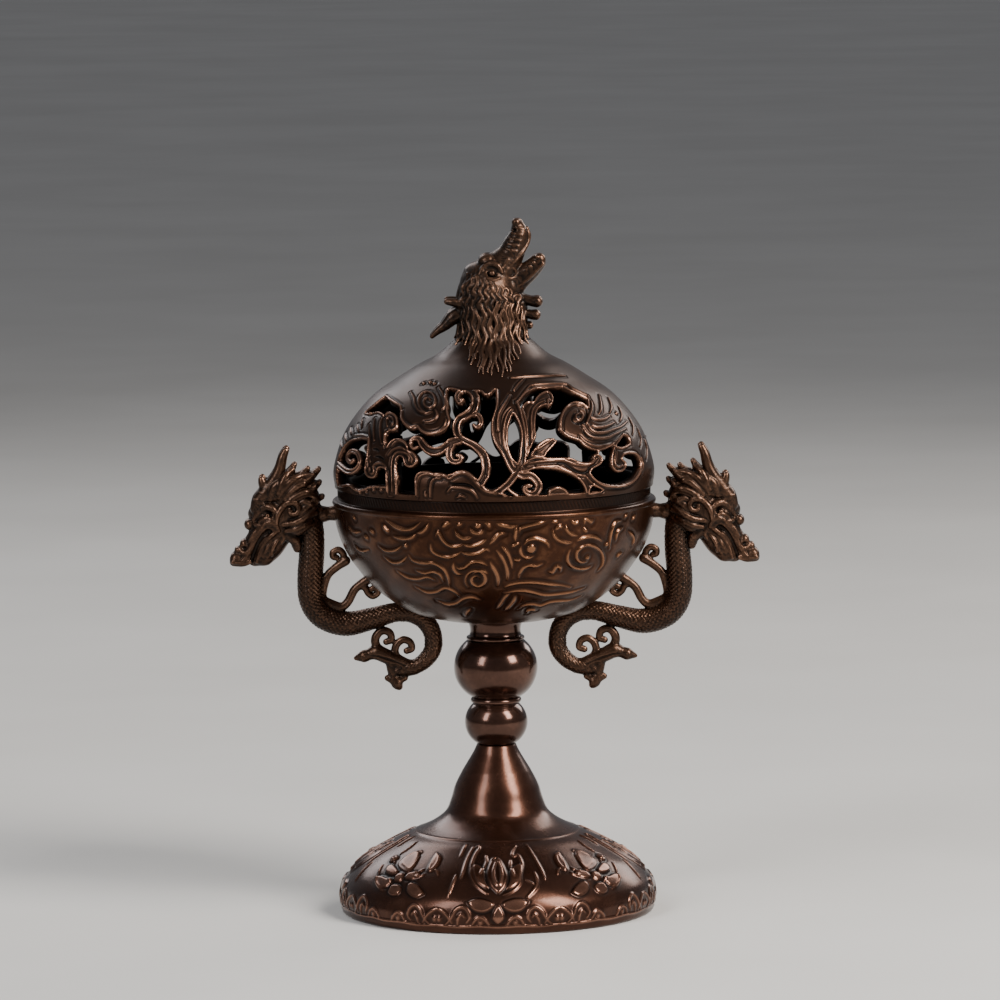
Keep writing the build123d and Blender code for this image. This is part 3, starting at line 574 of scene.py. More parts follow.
# Fine raised lines on the metal, from the left cluster round to the wing at the right.
LID_LINES = [
    # leaves and curls at the left
    [(-22.6, 98.3), (-22.6, 96.2), (-22.5, 94.0)],
    [(-20.8, 99.8), (-20.8, 97.6), (-20.8, 95.8)],
    [(-21.6, 94.2), (-21.6, 97.0), (-21.6, 99.6), (-21.3, 101.2), (-20.7, 102.1), (-19.8, 102.4),
     (-18.6, 102.2), (-17.9, 101.4),
     (-17.9, 100.6)],
    [(-22.4, 101.6), (-21.3, 102.8), (-19.9, 103.3), (-18.8, 103.0), (-17.8, 102.1), (-17.2, 101.2),
     (-17.4, 100.3)],
    [(-21.6, 103.5), (-20.8, 104.4), (-19.8, 104.7), (-18.9, 104.3), (-18.4, 103.5)],
    [(-26.5, 107.2), (-26.4, 105.0), (-26.6, 103.0), (-26.7, 101.2), (-26.3, 99.8)],
    [(-25.3, 108.4), (-25.5, 106.4), (-25.4, 104.2)],
    [(-23.4, 109.2), (-24.0, 107.8), (-24.1, 105.8), (-23.8, 103.8)],
    [(-23.0, 106.4), (-23.0, 104.8), (-23.4, 103.0)],
    [(-23.0, 109.2), (-22.4, 109.7), (-21.4, 109.7), (-20.6, 109.1), (-20.4, 108.0), (-20.9, 106.9),
     (-22.0, 106.6)],
    [(-22.6, 107.3), (-22.7, 108.4), (-22.1, 109.1), (-21.3, 108.8), (-21.1, 107.9), (-21.7, 107.4)],
    [(-26.5, 98.6), (-26.4, 97.7), (-25.8, 97.4), (-25.4, 98.0), (-25.6, 99.0), (-24.8, 99.7),
     (-23.7, 99.7), (-22.9, 99.0)],
    [(-27.0, 98.6), (-26.9, 100.0), (-26.4, 101.2)],
    [(-27.9, 107.8), (-28.2, 106.2)],
    [(-29.1, 106.6), (-28.8, 105.4)],
    [(-30.6, 105.6), (-30.4, 104.6)],
    [(-31.8, 104.2), (-31.6, 103.0)],
    [(-32.8, 102.6), (-32.6, 101.4)],
    [(-29.8, 104.5), (-28.2, 104.8), (-26.8, 104.8)],
    # cloud, upper left
    [(-17.5, 114.1), (-16.8, 113.0), (-16.6, 111.9), (-15.8, 110.7), (-14.4, 110.3), (-13.1, 110.7)],
    [(-12.3, 111.1), (-11.9, 110.3), (-12.3, 109.3), (-13.2, 108.8), (-14.6, 108.6)],
    [(-19.3, 110.6), (-19.4, 109.2), (-18.8, 108.2), (-17.6, 107.6), (-16.4, 107.9)],
    [(-16.1, 107.9), (-15.2, 107.0), (-14.0, 106.6), (-12.6, 106.7), (-11.2, 107.2), (-10.3, 108.2),
     (-10.0, 109.4)],
    [(-10.8, 111.2), (-10.2, 112.0), (-10.2, 113.0), (-10.7, 114.1), (-11.5, 115.3)],
    # cloud, lower
    [(-16.2, 93.4), (-16.3, 95.6), (-16.0, 97.2), (-15.2, 98.0), (-13.9, 98.2), (-12.6, 97.9),
     (-10.6, 97.9), (-9.4, 97.4),
     (-8.4, 98.0), (-7.2, 98.5), (-5.8, 98.4), (-4.6, 97.5), (-3.6, 96.4), (-2.7, 95.4), (-1.6, 94.6),
     (0.0, 94.3), (2.0, 94.2),
     (3.4, 93.7)],
    [(-13.5, 93.4), (-13.5, 95.2), (-13.2, 96.6), (-12.4, 97.3), (-11.2, 97.3)],
    [(-14.4, 93.4), (-14.6, 94.4)],
    [(-9.8, 94.6), (-9.1, 95.5), (-7.8, 95.6), (-6.3, 95.5), (-4.9, 95.0), (-4.1, 94.2), (-3.5, 93.3)],
    [(-7.8, 93.4), (-7.0, 93.8), (-6.1, 93.5)],
    # vine's edges
    [(-8.3, 106.2), (-8.6, 107.4), (-8.4, 108.8), (-7.6, 109.8), (-6.4, 110.4), (-5.2, 111.2),
     (-4.8, 112.2)],
    [(-6.7, 106.6), (-7.1, 107.6), (-7.0, 108.6), (-6.2, 109.6)],
    [(-3.4, 111.0), (-3.1, 112.2), (-3.3, 113.4)],
    [(-1.5, 102.6), (-1.1, 101.2), (-1.0, 99.8), (-1.3, 98.4)],
    [(-9.9, 104.7), (-11.0, 103.8), (-12.4, 103.5), (-13.9, 103.9), (-15.0, 105.0)],
    # tulip and curling blade
    [(3.6, 114.0), (2.8, 112.8), (1.7, 111.4), (1.1, 110.2), (0.9, 108.8), (0.9, 107.3)],
    [(3.9, 111.3), (3.1, 110.5), (2.6, 109.4), (2.3, 108.0), (2.1, 106.5), (2.2, 105.2), (2.4, 103.9),
     (2.9, 102.6), (3.5, 101.2),
     (4.2, 99.8)],
    [(6.5, 116.9), (5.2, 115.8), (4.4, 114.8)],
    [(4.9, 112.9), (5.7, 111.4), (6.1, 109.9), (6.6, 108.0), (6.8, 105.6), (6.8, 103.7), (6.7, 101.8),
     (6.5, 100.2)],
    [(10.9, 112.7), (9.5, 112.1), (8.5, 111.1), (8.1, 109.6), (8.1, 107.3), (8.1, 105.4), (7.9, 103.6)],
    [(7.8, 102.2), (8.6, 103.0), (9.6, 103.5), (10.8, 104.2), (12.2, 104.9)],
    [(3.8, 117.2), (8.4, 117.3), (13.0, 117.1), (15.4, 116.8)],
    [(4.8, 112.6), (5.8, 113.5), (7.2, 114.9), (8.8, 115.7), (14.9, 115.5), (17.0, 114.4), (20.2, 112.9)],
    # branches at the right
    [(6.8, 100.4), (9.2, 100.7), (12.0, 100.8), (15.0, 100.7), (17.0, 99.8), (19.2, 99.4), (20.9, 99.7),
     (21.9, 100.7)],
    [(9.0, 99.8), (11.6, 99.7), (13.4, 99.5), (15.6, 98.6), (17.6, 97.6), (19.4, 97.2)],
    [(19.4, 97.1), (20.6, 95.7), (21.9, 94.8), (23.3, 93.8)],
    [(20.2, 97.6), (21.1, 96.4), (22.4, 95.2), (24.0, 94.5), (26.0, 94.2), (28.4, 94.2), (30.2, 95.0),
     (31.4, 96.3), (31.9, 97.8),
     (31.6, 99.3)],
    # wing
    [(20.1, 112.9), (20.9, 111.5), (20.9, 110.2), (20.4, 108.9), (19.8, 107.8)],
    [(22.6, 112.7), (22.9, 111.1), (22.9, 109.9), (22.5, 109.3)],
    [(20.7, 108.9), (22.0, 108.2), (23.5, 108.1), (24.8, 108.6)],
    [(21.1, 107.2), (22.3, 106.7), (24.0, 106.7), (25.8, 107.2)],
    [(20.0, 107.6), (20.8, 106.4), (22.1, 105.7), (24.0, 105.6), (25.6, 105.9), (27.2, 106.2),
     (28.6, 106.9)],
    [(18.9, 107.0), (20.0, 105.5), (21.7, 104.7), (24.0, 104.5), (26.0, 105.0), (28.2, 105.6)],
    [(18.4, 105.2), (19.3, 104.2), (20.8, 103.3), (22.4, 102.9), (24.2, 103.0), (25.8, 103.4),
     (27.6, 104.8)],
    [(14.5, 107.0), (14.4, 108.4), (14.8, 109.8), (15.8, 111.0), (17.4, 111.5), (18.8, 111.1)],
    [(24.6, 111.8), (25.2, 110.2), (24.9, 109.2)],
    [(26.8, 109.8), (27.4, 108.2), (27.0, 107.2)],
    [(29.0, 107.4), (29.8, 105.6), (29.7, 104.2)],
    [(30.8, 105.0), (31.5, 103.0), (31.3, 101.6)],
    [(32.4, 102.4), (32.8, 100.4), (32.6, 98.8)],
    [(25.9, 101.4), (25.6, 100.0), (25.8, 98.8), (26.6, 98.2), (27.4, 98.5)],
]
LID_SPIRALS = [spiral(-13.8, 112.6, 0.5, 2.3, 40, 1.6), spiral(18.1, 109.2, 0.5, 1.0, 100, 0.9),
               spiral(12.0, 112.6, 0.2, 0.7, 30, 0.8)]

# Grooves cut into the metal.
LID_GROOVES = [
    [(-25.8, 102.6), (-25.0, 102.6), (-24.4, 102.2)],
    [(-25.3, 101.1), (-24.3, 101.1), (-23.3, 100.6)],
    [(-9.4, 96.5), (-8.0, 96.3), (-6.5, 96.3), (-5.0, 95.9), (-4.1, 95.1)],
    [(17.3, 109.9), (16.7, 109.0), (17.0, 108.2), (18.2, 107.8), (19.4, 108.3), (19.9, 109.4),
     (19.6, 110.5), (18.6, 111.0)],
    [(13.5, 100.2), (14.8, 100.0), (16.1, 99.2), (17.5, 98.3), (18.7, 97.9), (19.7, 98.0), (20.4, 98.8),
     (21.6, 99.3)],
    [(20.9, 106.9), (21.8, 106.2), (23.4, 106.2)],
    [(19.0, 106.2), (19.8, 105.2), (20.8, 104.7)],
]
LID_STUDS = [(-14.8, 115.8), (-13.4, 116.1), (-12.5, 115.9), (-26.1, 109.2), (-21.4, 107.8), (26.3, 108.8),
             (-6.6, 113.0),
             (-28.6, 93.2), (-27.2, 93.6), (-25.6, 94.2), (-24.0, 94.3), (18.2, 108.6)]
LID_LINE_W, LID_GROOVE_W, LID_STUD_R = 0.17, 0.2, 0.32


def closed_field(points, outline):
    """Signed distance to a closed outline laid on the dome, below zero inside it."""
    rim = np.full(len(points), FAR)
    lay(rim, points, WRAP_DOME(np.vstack([outline, outline[:1]])), 0.0)
    return np.where(inside_outline(points[:, 0], points[:, 2], outline), -rim, rim)


def lid_solid(points):
    """Below zero on the lid's metal and above zero in its openings."""
    solid = -closed_field(points, outline_of(OPEN_AREA))
    for area in SOLID_AREAS:
        solid = np.minimum(solid, closed_field(points, outline_of(area)))
    for width, path in VINES:
        lay(solid, points, WRAP_DOME(smooth(path)), width)
    for hole in SMALL_HOLES:
        solid = np.maximum(solid, -closed_field(points, outline_of(hole)))
    return solid


def lid_lines(points):
    """Height of the raised lines, studs and grooves on the lid."""
    near = np.full(len(points), FAR)
    for path in LID_LINES:
        lay(near, points, WRAP_DOME(smooth(path, 4)), (0.03, LID_LINE_W, LID_LINE_W, 0.03), 1.0)
    for path in LID_SPIRALS:
        lay(near, points, WRAP_DOME(path), (0.05, LID_LINE_W, LID_LINE_W), 1.0)
    for place in LID_STUDS:
        lay(near, points, WRAP_DOME([place, (place[0] + 0.02, place[1])]), LID_STUD_R, 1.0)
    cut = np.full(len(points), FAR)
    for path in LID_GROOVES:
        lay(cut, points, WRAP_DOME(smooth(path, 4)), (0.04, LID_GROOVE_W, LID_GROOVE_W, 0.04), 1.0)
    ridge = 0.27 * (1 - smooth_step(near, -0.1, 0.22)) - 0.13 * np.exp(-((near - 0.42) / 0.18) ** 2)
    return ridge - 0.4 * (1 - smooth_step(cut, -0.15, 0.2))


def make_lid(columns, step):
    """The thin pierced dome with its inner wall, seat and flat crown."""
    outline = resample(DOME, step)
    dome_rows = len(outline)
    crown = [(CROWN_R, LID_TOP), (FINIAL_BORE, LID_TOP), (FINIAL_BORE, CEILING), (9.0, CEILING),
             (13.4, 117.4)]
    outline = np.vstack([outline, resample(crown, 1.2)[1:]])
    points, normals = turned(outline, columns)
    half = columns // 2
    front = points[:dome_rows, :half].reshape(-1, 3)
    solid = both_halves(lid_solid(front).reshape(dome_rows, half))
    lines = both_halves(lid_lines(front).reshape(dome_rows, half))
    rim = 0.22 * np.exp(-((solid + 0.32) / 0.17) ** 2) - 0.13 * np.exp(-((solid + 0.74) / 0.2) ** 2)
    height = np.where(solid < 0, rim - HOLLOW_DEPTH * np.exp(-((solid / 0.12) ** 2)), -HOLLOW_DEPTH) + lines
    height[-PLAIN_ROWS:] = 0
    outer = points.copy()
    outer[:dome_rows] += normals[:dome_rows] * height[..., None]
    inner_rows = int(np.searchsorted(-outline[:dome_rows, 0], -INSIDE_R))
    inner = points[:inner_rows] - normals[:inner_rows] * LID_WALL

    rows = len(outline)
    everything = np.concatenate([outer.reshape(-1, 3), inner.reshape(-1, 3)])
    first_inner = rows * columns
    wear_and_shade_level = 0.42 + 1.1 * cavity(height, True, 6) + 0.24 * np.exp(-((solid + 0.32) / 0.2) ** 2)
    wear_and_shade = np.concatenate([wear_and_shade_level.ravel(), np.full((rows - dome_rows) * columns, 0.2),
                           np.full(inner.shape[0] * columns, 0.0)])
    level = np.concatenate([solid.ravel(), np.full((rows - dome_rows) * columns, -FAR)])

    skin = ring_quads(rows, columns)
    everything, wear_and_shade, outer_faces, inner_faces, walls = cut_openings(everything, wear_and_shade, level, skin,
                                                                     first_inner, inner_rows, columns)
    seat = np.arange(columns)
    after = (seat + 1) % columns
    bottom = np.stack([first_inner + seat, first_inner + after, after, seat], axis=1)
    last_outer, last_inner = (rows - 1) * columns, first_inner + (inner_rows - 1) * columns
    top = np.stack([last_outer + seat, last_outer + after, last_inner + after, last_inner + seat], axis=1)
    triangles = np.vstack([outer_faces, inner_faces])
    quads = np.vstack([walls, bottom, top])
    used, renumbered = np.unique(np.concatenate([triangles.ravel(), quads.ravel()]), return_inverse=True)
    triangles = renumbered[: triangles.size].reshape(-1, 3)
    quads = renumbered[len(renumbered) - quads.size :].reshape(-1, 4)
    piece = make_mesh("lid_openwork", everything[used], triangles, quads, wear_and_shade=np.clip(wear_and_shade[used], 0, 1))
    finish_piece(piece, LID_BRONZE, "lid", "lid_bronze", "lid")
    return piece


def cut_openings(points, wear_and_shade, level, quads, first_inner, inner_rows, columns):
    """Cuts a skin of quads along level 0, copies it to the inner surface, and walls in the cut edges."""
    tris = np.vstack([quads[:, [0, 1, 2]], quads[:, [0, 2, 3]]])
    metal = level[tris] < 0
    count = metal.sum(axis=1)
    whole = tris[count == 3]
    pieces = {}
    for wanted in (1, 2):
        cut, side = tris[count == wanted], metal[count == wanted]
        odd = np.argmax(side, axis=1) if wanted == 1 else np.argmin(side, axis=1)
        pieces[wanted] = np.stack([np.take_along_axis(cut, ((odd + k) % 3)[:, None],
                                                      1)[:, 0] for k in range(3)], axis=1)
    edges = np.vstack([pieces[w][:, pair] for w in (1, 2) for pair in ([0, 1], [0, 2])])
    low, high = edges.min(1), edges.max(1)
    keys, where = np.unique(low.astype(np.int64) * len(level) + high, return_inverse=True)
    a, b = keys // len(level), keys % len(level)
    t = np.clip(level[a] / (level[a] - level[b]), 0.02, 0.98)[:, None]
    inner_of = first_inner + np.arange(inner_rows * columns)
    fresh_outer = points[a] + (points[b] - points[a]) * t
    fresh_inner = points[inner_of[a]] + (points[inner_of[b]] - points[inner_of[a]]) * t
    start = len(points)
    points = np.vstack([points, fresh_outer, fresh_inner])
    wear_and_shade = np.concatenate([wear_and_shade, np.full(len(keys), 0.55), np.full(len(keys), 0.1)])
    new = start + where
    n1, n2 = len(pieces[1]), len(pieces[2])
    one_a, one_b = new[:n1], new[n1 : 2 * n1]
    two_a, two_b = new[2 * n1 : 2 * n1 + n2], new[2 * n1 + n2 :]
    corner, p, q = pieces[1][:, 0], pieces[2][:, 1], pieces[2][:, 2]
    faces = np.vstack([
        whole,
        np.stack([corner, one_a, one_b], 1),
        np.stack([two_a, p, q], 1),
        np.stack([two_a, q, two_b], 1),
    ])
    rims = np.vstack([np.stack([one_a, one_b], 1), np.stack([two_b, two_a], 1)])
    shift = len(keys)

    def inward(index):
        return np.where(index >= start, index + shift, first_inner + index)

    lowest = np.where(faces < start, faces, 0).max(axis=1)
    below = faces[lowest < inner_rows * columns]
    inner_faces = inward(below)[:, ::-1]
    walls = np.stack([rims[:, 1], rims[:, 0], inward(rims[:, 0]), inward(rims[:, 1])], axis=1)
    return points, wear_and_shade, faces, inner_faces, walls


make_lid(*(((1200, 0.18))))

# ==================================================================================================
# Bowl: scrolling cloud relief under a bright rim bead
# ==================================================================================================

BOWL_SKIN = smooth([(6.4, BOWL_BOTTOM), (12.0, 63.7), (18.0, 65.3), (23.0, 68.2), (27.0, 71.6),
                    (30.0, 75.3), (32.4, 79.2),
                    (34.0, 83.5), (34.5, 88.3)], 10)
# Cast lines on the bowl's front, from left to right in each row and from the rim down.
BOWL_LINES = [
    # scallops under the rim, left
    [(-23.0, 88.0), (-21.6, 87.0), (-20.0, 86.3), (-18.6, 86.1), (-17.1, 86.6), (-15.6, 87.9)],
    [(-23.6, 86.8), (-23.0, 85.9), (-22.3, 85.4)],
    [(-21.3, 84.5), (-20.0, 84.2), (-18.5, 84.2), (-17.3, 84.7), (-16.6, 85.3)],
    [(-16.4, 85.6), (-15.4, 85.8), (-14.6, 86.5), (-13.9, 87.6)],
    [(-30.1, 88.0), (-29.6, 87.2)],
    [(-26.5, 85.4), (-25.6, 84.8)],
    [(-27.7, 84.0), (-26.9, 83.4)],
    # big double cloud, centre left
    [(-12.4, 85.0), (-12.0, 86.0), (-11.5, 85.4), (-10.9, 84.3), (-9.9, 83.3), (-8.6, 82.9), (-7.4, 83.1),
     (-6.6, 83.5)],
    [(-6.6, 83.5), (-5.6, 83.1), (-4.4, 83.1), (-2.9, 83.7), (-1.8, 84.5)],
    [(-13.6, 83.3), (-13.2, 81.9), (-11.8, 80.9), (-9.9, 80.5), (-8.3, 81.0), (-7.1, 81.8)],
    [(-7.1, 81.8), (-6.1, 81.4), (-4.8, 81.3), (-3.3, 81.6), (-1.9, 82.4), (-1.1, 81.9)],
    [(-10.9, 87.0), (-10.2, 87.8), (-9.2, 88.2)],
    [(-8.3, 86.4), (-7.8, 85.4), (-6.7, 84.7), (-5.6, 84.7), (-4.9, 85.1)],
    [(-7.8, 87.5), (-6.9, 88.0)],
    [(-5.1, 86.9), (-4.6, 86.1), (-3.6, 85.8), (-2.8, 86.0), (-2.4, 86.7)],
    [(-2.2, 88.2), (-1.5, 88.0), (-1.0, 87.1)],
    # leaf and stem, centre
    [(-1.0, 83.5), (-0.1, 84.5), (0.9, 85.6), (2.2, 85.8)],
    [(0.4, 88.2), (1.2, 87.7), (2.4, 87.3), (3.6, 87.1), (4.7, 87.4)],
    [(4.6, 87.4), (4.5, 86.2), (4.4, 85.2), (4.4, 84.1)],
    [(5.2, 85.8), (5.5, 86.7), (6.7, 87.1), (8.3, 87.5), (9.9, 87.9), (11.0, 88.2)],
    [(0.4, 82.1), (1.2, 81.1), (2.0, 79.7), (2.5, 78.1), (2.7, 76.6), (2.6, 75.4)],
    [(1.5, 83.0), (2.3, 82.1), (3.0, 80.9), (3.5, 79.3), (3.6, 77.9)],
    [(-1.0, 79.5), (-0.3, 78.1), (0.4, 76.8), (0.7, 75.4), (0.6, 74.0)],
    # swirl under the double cloud
    [(-8.2, 78.5), (-7.6, 78.0), (-6.4, 78.3), (-5.2, 79.3), (-3.9, 79.7), (-2.6, 79.3), (-1.6, 78.7)],
    [(-8.7, 79.2), (-8.7, 78.0), (-8.0, 77.0), (-7.0, 76.6)],
    [(-4.6, 76.8), (-3.6, 77.5), (-2.4, 77.5), (-1.5, 76.8)],
    # eye, centre right
    [(5.6, 83.1), (5.4, 82.0), (5.9, 80.9), (7.0, 80.3), (8.2, 80.6)],
    [(6.2, 83.2), (7.1, 84.2), (8.5, 84.5), (9.8, 84.1), (11.1, 83.4), (11.5, 82.4)],
    [(3.7, 82.8), (4.3, 83.3), (5.2, 83.6)],
    [(4.1, 80.2), (4.7, 79.9), (5.4, 80.0)],
    [(5.0, 75.6), (5.3, 76.9), (6.0, 78.0), (7.1, 78.6), (8.6, 78.4), (10.0, 78.8)],
    # scallops and great curl, right
    [(12.2, 86.1), (12.7, 84.8), (13.7, 83.8), (15.1, 83.2), (16.2, 83.2)],
    [(12.9, 86.2), (13.6, 86.8), (14.4, 86.7)],
    [(12.1, 88.0), (13.4, 87.9)],
    [(15.1, 87.0), (15.4, 85.9), (16.3, 85.0), (17.4, 84.6)],
    [(16.3, 88.1), (16.8, 87.4), (17.4, 87.3), (17.8, 87.9)],
    [(19.0, 86.0), (19.6, 85.2)],
    [(19.1, 87.0), (19.2, 88.0), (20.0, 87.7), (20.5, 87.3), (21.0, 87.7)],
    [(17.6, 83.5), (18.6, 83.9), (20.0, 84.1), (21.0, 84.0), (22.0, 83.5), (22.9, 82.7)],
    [(20.0, 82.3), (18.7, 82.1), (17.6, 81.3), (17.3, 80.2), (17.6, 79.1), (18.6, 78.5), (19.5, 78.6)],
    [(18.8, 82.2), (20.0, 82.3), (21.3, 81.8), (22.5, 80.6), (23.0, 79.2), (22.9, 77.6), (22.0, 76.2)],
    [(15.9, 81.5), (15.4, 80.1), (15.6, 78.7), (16.6, 77.6), (18.0, 77.1), (19.5, 77.0), (20.4, 77.3)],
    # leaves at the far right
    [(27.0, 86.8), (25.9, 86.7), (25.2, 85.8), (24.8, 84.6), (24.5, 82.8), (24.4, 80.8)],
    [(27.3, 85.3), (26.4, 84.8), (25.9, 83.9), (25.8, 82.6)],
    [(27.7, 87.4), (28.4, 88.2)],
    [(29.4, 86.6), (30.0, 87.4)],
    [(26.1, 78.6), (26.4, 79.3), (27.2, 79.5)],
    # long sweeps over the bowl's lower half
    [(-18.2, 80.6), (-17.2, 79.4), (-15.1, 79.0), (-13.1, 79.1), (-11.6, 78.4), (-10.5, 77.4),
     (-9.8, 75.6), (-9.6, 73.4)],
    [(-16.6, 77.0), (-14.8, 76.7), (-13.1, 77.1), (-11.6, 76.6), (-10.8, 75.0)],
    [(11.4, 77.0), (12.2, 76.8), (13.0, 78.0), (13.8, 77.7), (13.9, 76.9)],
    [(2.2, 73.7), (3.0, 74.2), (4.7, 74.6), (6.7, 74.7), (8.8, 74.5), (11.4, 74.0), (13.6, 73.6),
     (16.0, 72.8)],
    [(1.9, 72.2), (4.0, 72.7), (6.0, 72.8), (8.0, 72.3), (10.0, 71.6), (12.4, 71.4), (16.3, 71.7),
     (19.0, 72.3)],
    [(4.9, 68.3), (6.2, 69.2), (7.9, 69.4), (9.6, 69.0), (11.6, 69.6), (13.8, 69.7), (16.2, 69.7),
     (18.4, 70.4)],
    [(0.4, 68.5), (1.3, 69.8), (2.2, 71.4), (3.0, 72.1)],
    [(2.1, 68.0), (3.0, 69.0), (3.9, 70.3), (4.3, 71.4)],
    [(-6.3, 66.4), (-6.0, 67.4), (-5.2, 68.4)],
    [(-24.6, 82.0), (-23.0, 81.2), (-21.2, 81.4), (-19.8, 82.4)],
    [(-23.4, 79.6), (-21.6, 78.6), (-19.8, 79.0), (-18.6, 80.2)],
    [(-20.6, 76.6), (-18.6, 75.4), (-16.4, 75.2), (-14.4, 75.8), (-12.8, 75.2)],
    [(-16.8, 73.2), (-14.6, 72.2), (-12.4, 72.4), (-10.6, 73.4), (-8.8, 72.8), (-7.4, 71.4)],
    [(-12.2, 70.0), (-10.2, 69.4), (-8.2, 69.8), (-6.6, 71.0), (-4.8, 71.4), (-3.2, 70.6)],
    [(-31.2, 85.6), (-30.0, 84.4), (-28.6, 84.6)],
    [(-29.8, 81.4), (-28.4, 80.4), (-26.8, 80.8)],
    [(28.6, 84.2), (29.6, 82.6), (29.4, 80.8)],
    [(6.7, 66.9), (7.0, 67.8), (7.9, 68.0), (8.6, 67.6)],
]
BOWL_SPIRALS = [spiral(-3.8, 75.5, 0.6, 2.6, 30, 1.55)]
BOWL_BUTTONS = [((-3.5, 87.4), 0.45), ((7.7, 82.3), 0.85), ((19.6, 79.5), 0.35), ((-18.8, 82.7), 0.3),
                ((23.8, 82.0), 0.35)]
BOWL_LINE_W, BOWL_LINE_H = 0.2, 0.4


def bowl_relief(points):
    """Height of the cast lines and buttons on the bowl's skin, and a slow unevenness between them."""
    wrap = on_turned(BOWL_SKIN)
    near = np.full(len(points), FAR)
    for path in (*map(smooth, BOWL_LINES), *BOWL_SPIRALS):
        lay(near, points, wrap(path), (-0.1, BOWL_LINE_W, BOWL_LINE_W, BOWL_LINE_W, -0.1), 1.6)
    for place, radius in BOWL_BUTTONS:
        lay(near, points, wrap([place, (place[0] + 0.01, place[1])]), radius, 1.6)
    line = BOWL_LINE_H * (1 - smooth_step(near, -0.2, 0.3))
    trough = -0.09 * np.exp(-((near - 0.65) / 0.32) ** 2)
    x, z = points[:, 0], points[:, 2]
    swell = 0.05 * np.sin(0.55 * x + 1.2) * np.sin(0.6 * z) + 0.03 * np.sin(1.3 * x - 0.7 * z)
    fade = smooth_step(z, 64.0, 67.0) * (1 - smooth_step(z, 87.7, 88.4))
    return (line + trough + swell) * fade


def rim_relief(points):
    """The bowl's skin, then the recessed band with its slanted hatching."""
    z = points[:, 2]
    turn = np.arctan2(points[:, 0], -points[:, 1])
    hatch = 0.07 * np.sin(240 * turn + 3.4 * z) * smooth_step(z, 90.2,
                                                              90.7) * (1 - smooth_step(z, 91.7, 92.2))
    return bowl_relief(points) + hatch * (np.hypot(points[:, 0], points[:, 1]) > 33)


def painted_shade_under_lid(z):
    """Painted shade: lowers the colour level in the recessed band under the lid, where the lid's shadow
    falls.
    """
    return -0.3 * smooth_step(z, 89.8, 90.1)


def make_bowl(columns, step):
    """The bowl with its rim bead, band and cloud relief, and the plain hollow in it."""
    bead = [(34.35, 88.45), (34.8, 88.7), (RIM_R, 89.1), (34.75, 89.5), (34.3, 89.75), (33.75, 89.9)]
    outer = np.vstack([resample(BOWL_SKIN, step), resample(smooth(bead, 5), step)[1:],
                       resample([(33.7, 89.95), (33.7, LID_SEAT - 0.15)], step), [(33.6, LID_SEAT - 0.03)]])
    lip = [(33.5, LID_SEAT), (32.3, LID_SEAT), (32.2, LID_SEAT + 0.1), (32.2, LIP_TOP - 0.2),
           (32.0, LIP_TOP), (31.0, LIP_TOP),
           (30.8, LIP_TOP - 0.2)]
    inside = smooth([(30.9, 92.0), (31.8, 84.6), (30.3, 78.6), (25.8, 72.2), (15.0, 66.2)], 8)
    inner = np.vstack([lip, inside, [(8.0, 66.2), (0.3, 66.2), (0.3, 65.6), (0.3, 63.9), (0.3, 63.2)]])
    # the last argument paints shade on the band under the lid
    relief_piece("bowl_relief", outer, inner, rim_relief, columns, BOWL_BRONZE, "stand", "bowl_bronze",
                 "bowl", painted_shade_under_lid)


make_bowl(*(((920, 0.22))))

# ==================================================================================================
# Foot: lotus and flower panels round a shallow dome that sweeps up into a plain cone
# ==================================================================================================

FOOT_SKIN = np.vstack([
    smooth([(33.4, 0.0), (33.9, 0.5), (34.0, 2.0), (FOOT_R, 4.4), (32.9, 7.3), (28.6, 11.6), (21.3, 15.8),
            (18.0, 17.3),
            (14.0, 19.2), (11.2, 21.4), (10.0, 24.0), (9.0, 27.2), (7.4, 30.4)], 8),
    smooth([(7.4, 30.4), (6.3, 32.2), (5.0, 34.4), (4.2, CONE_TOP)], 8)[1:],
])
PANELS = 8
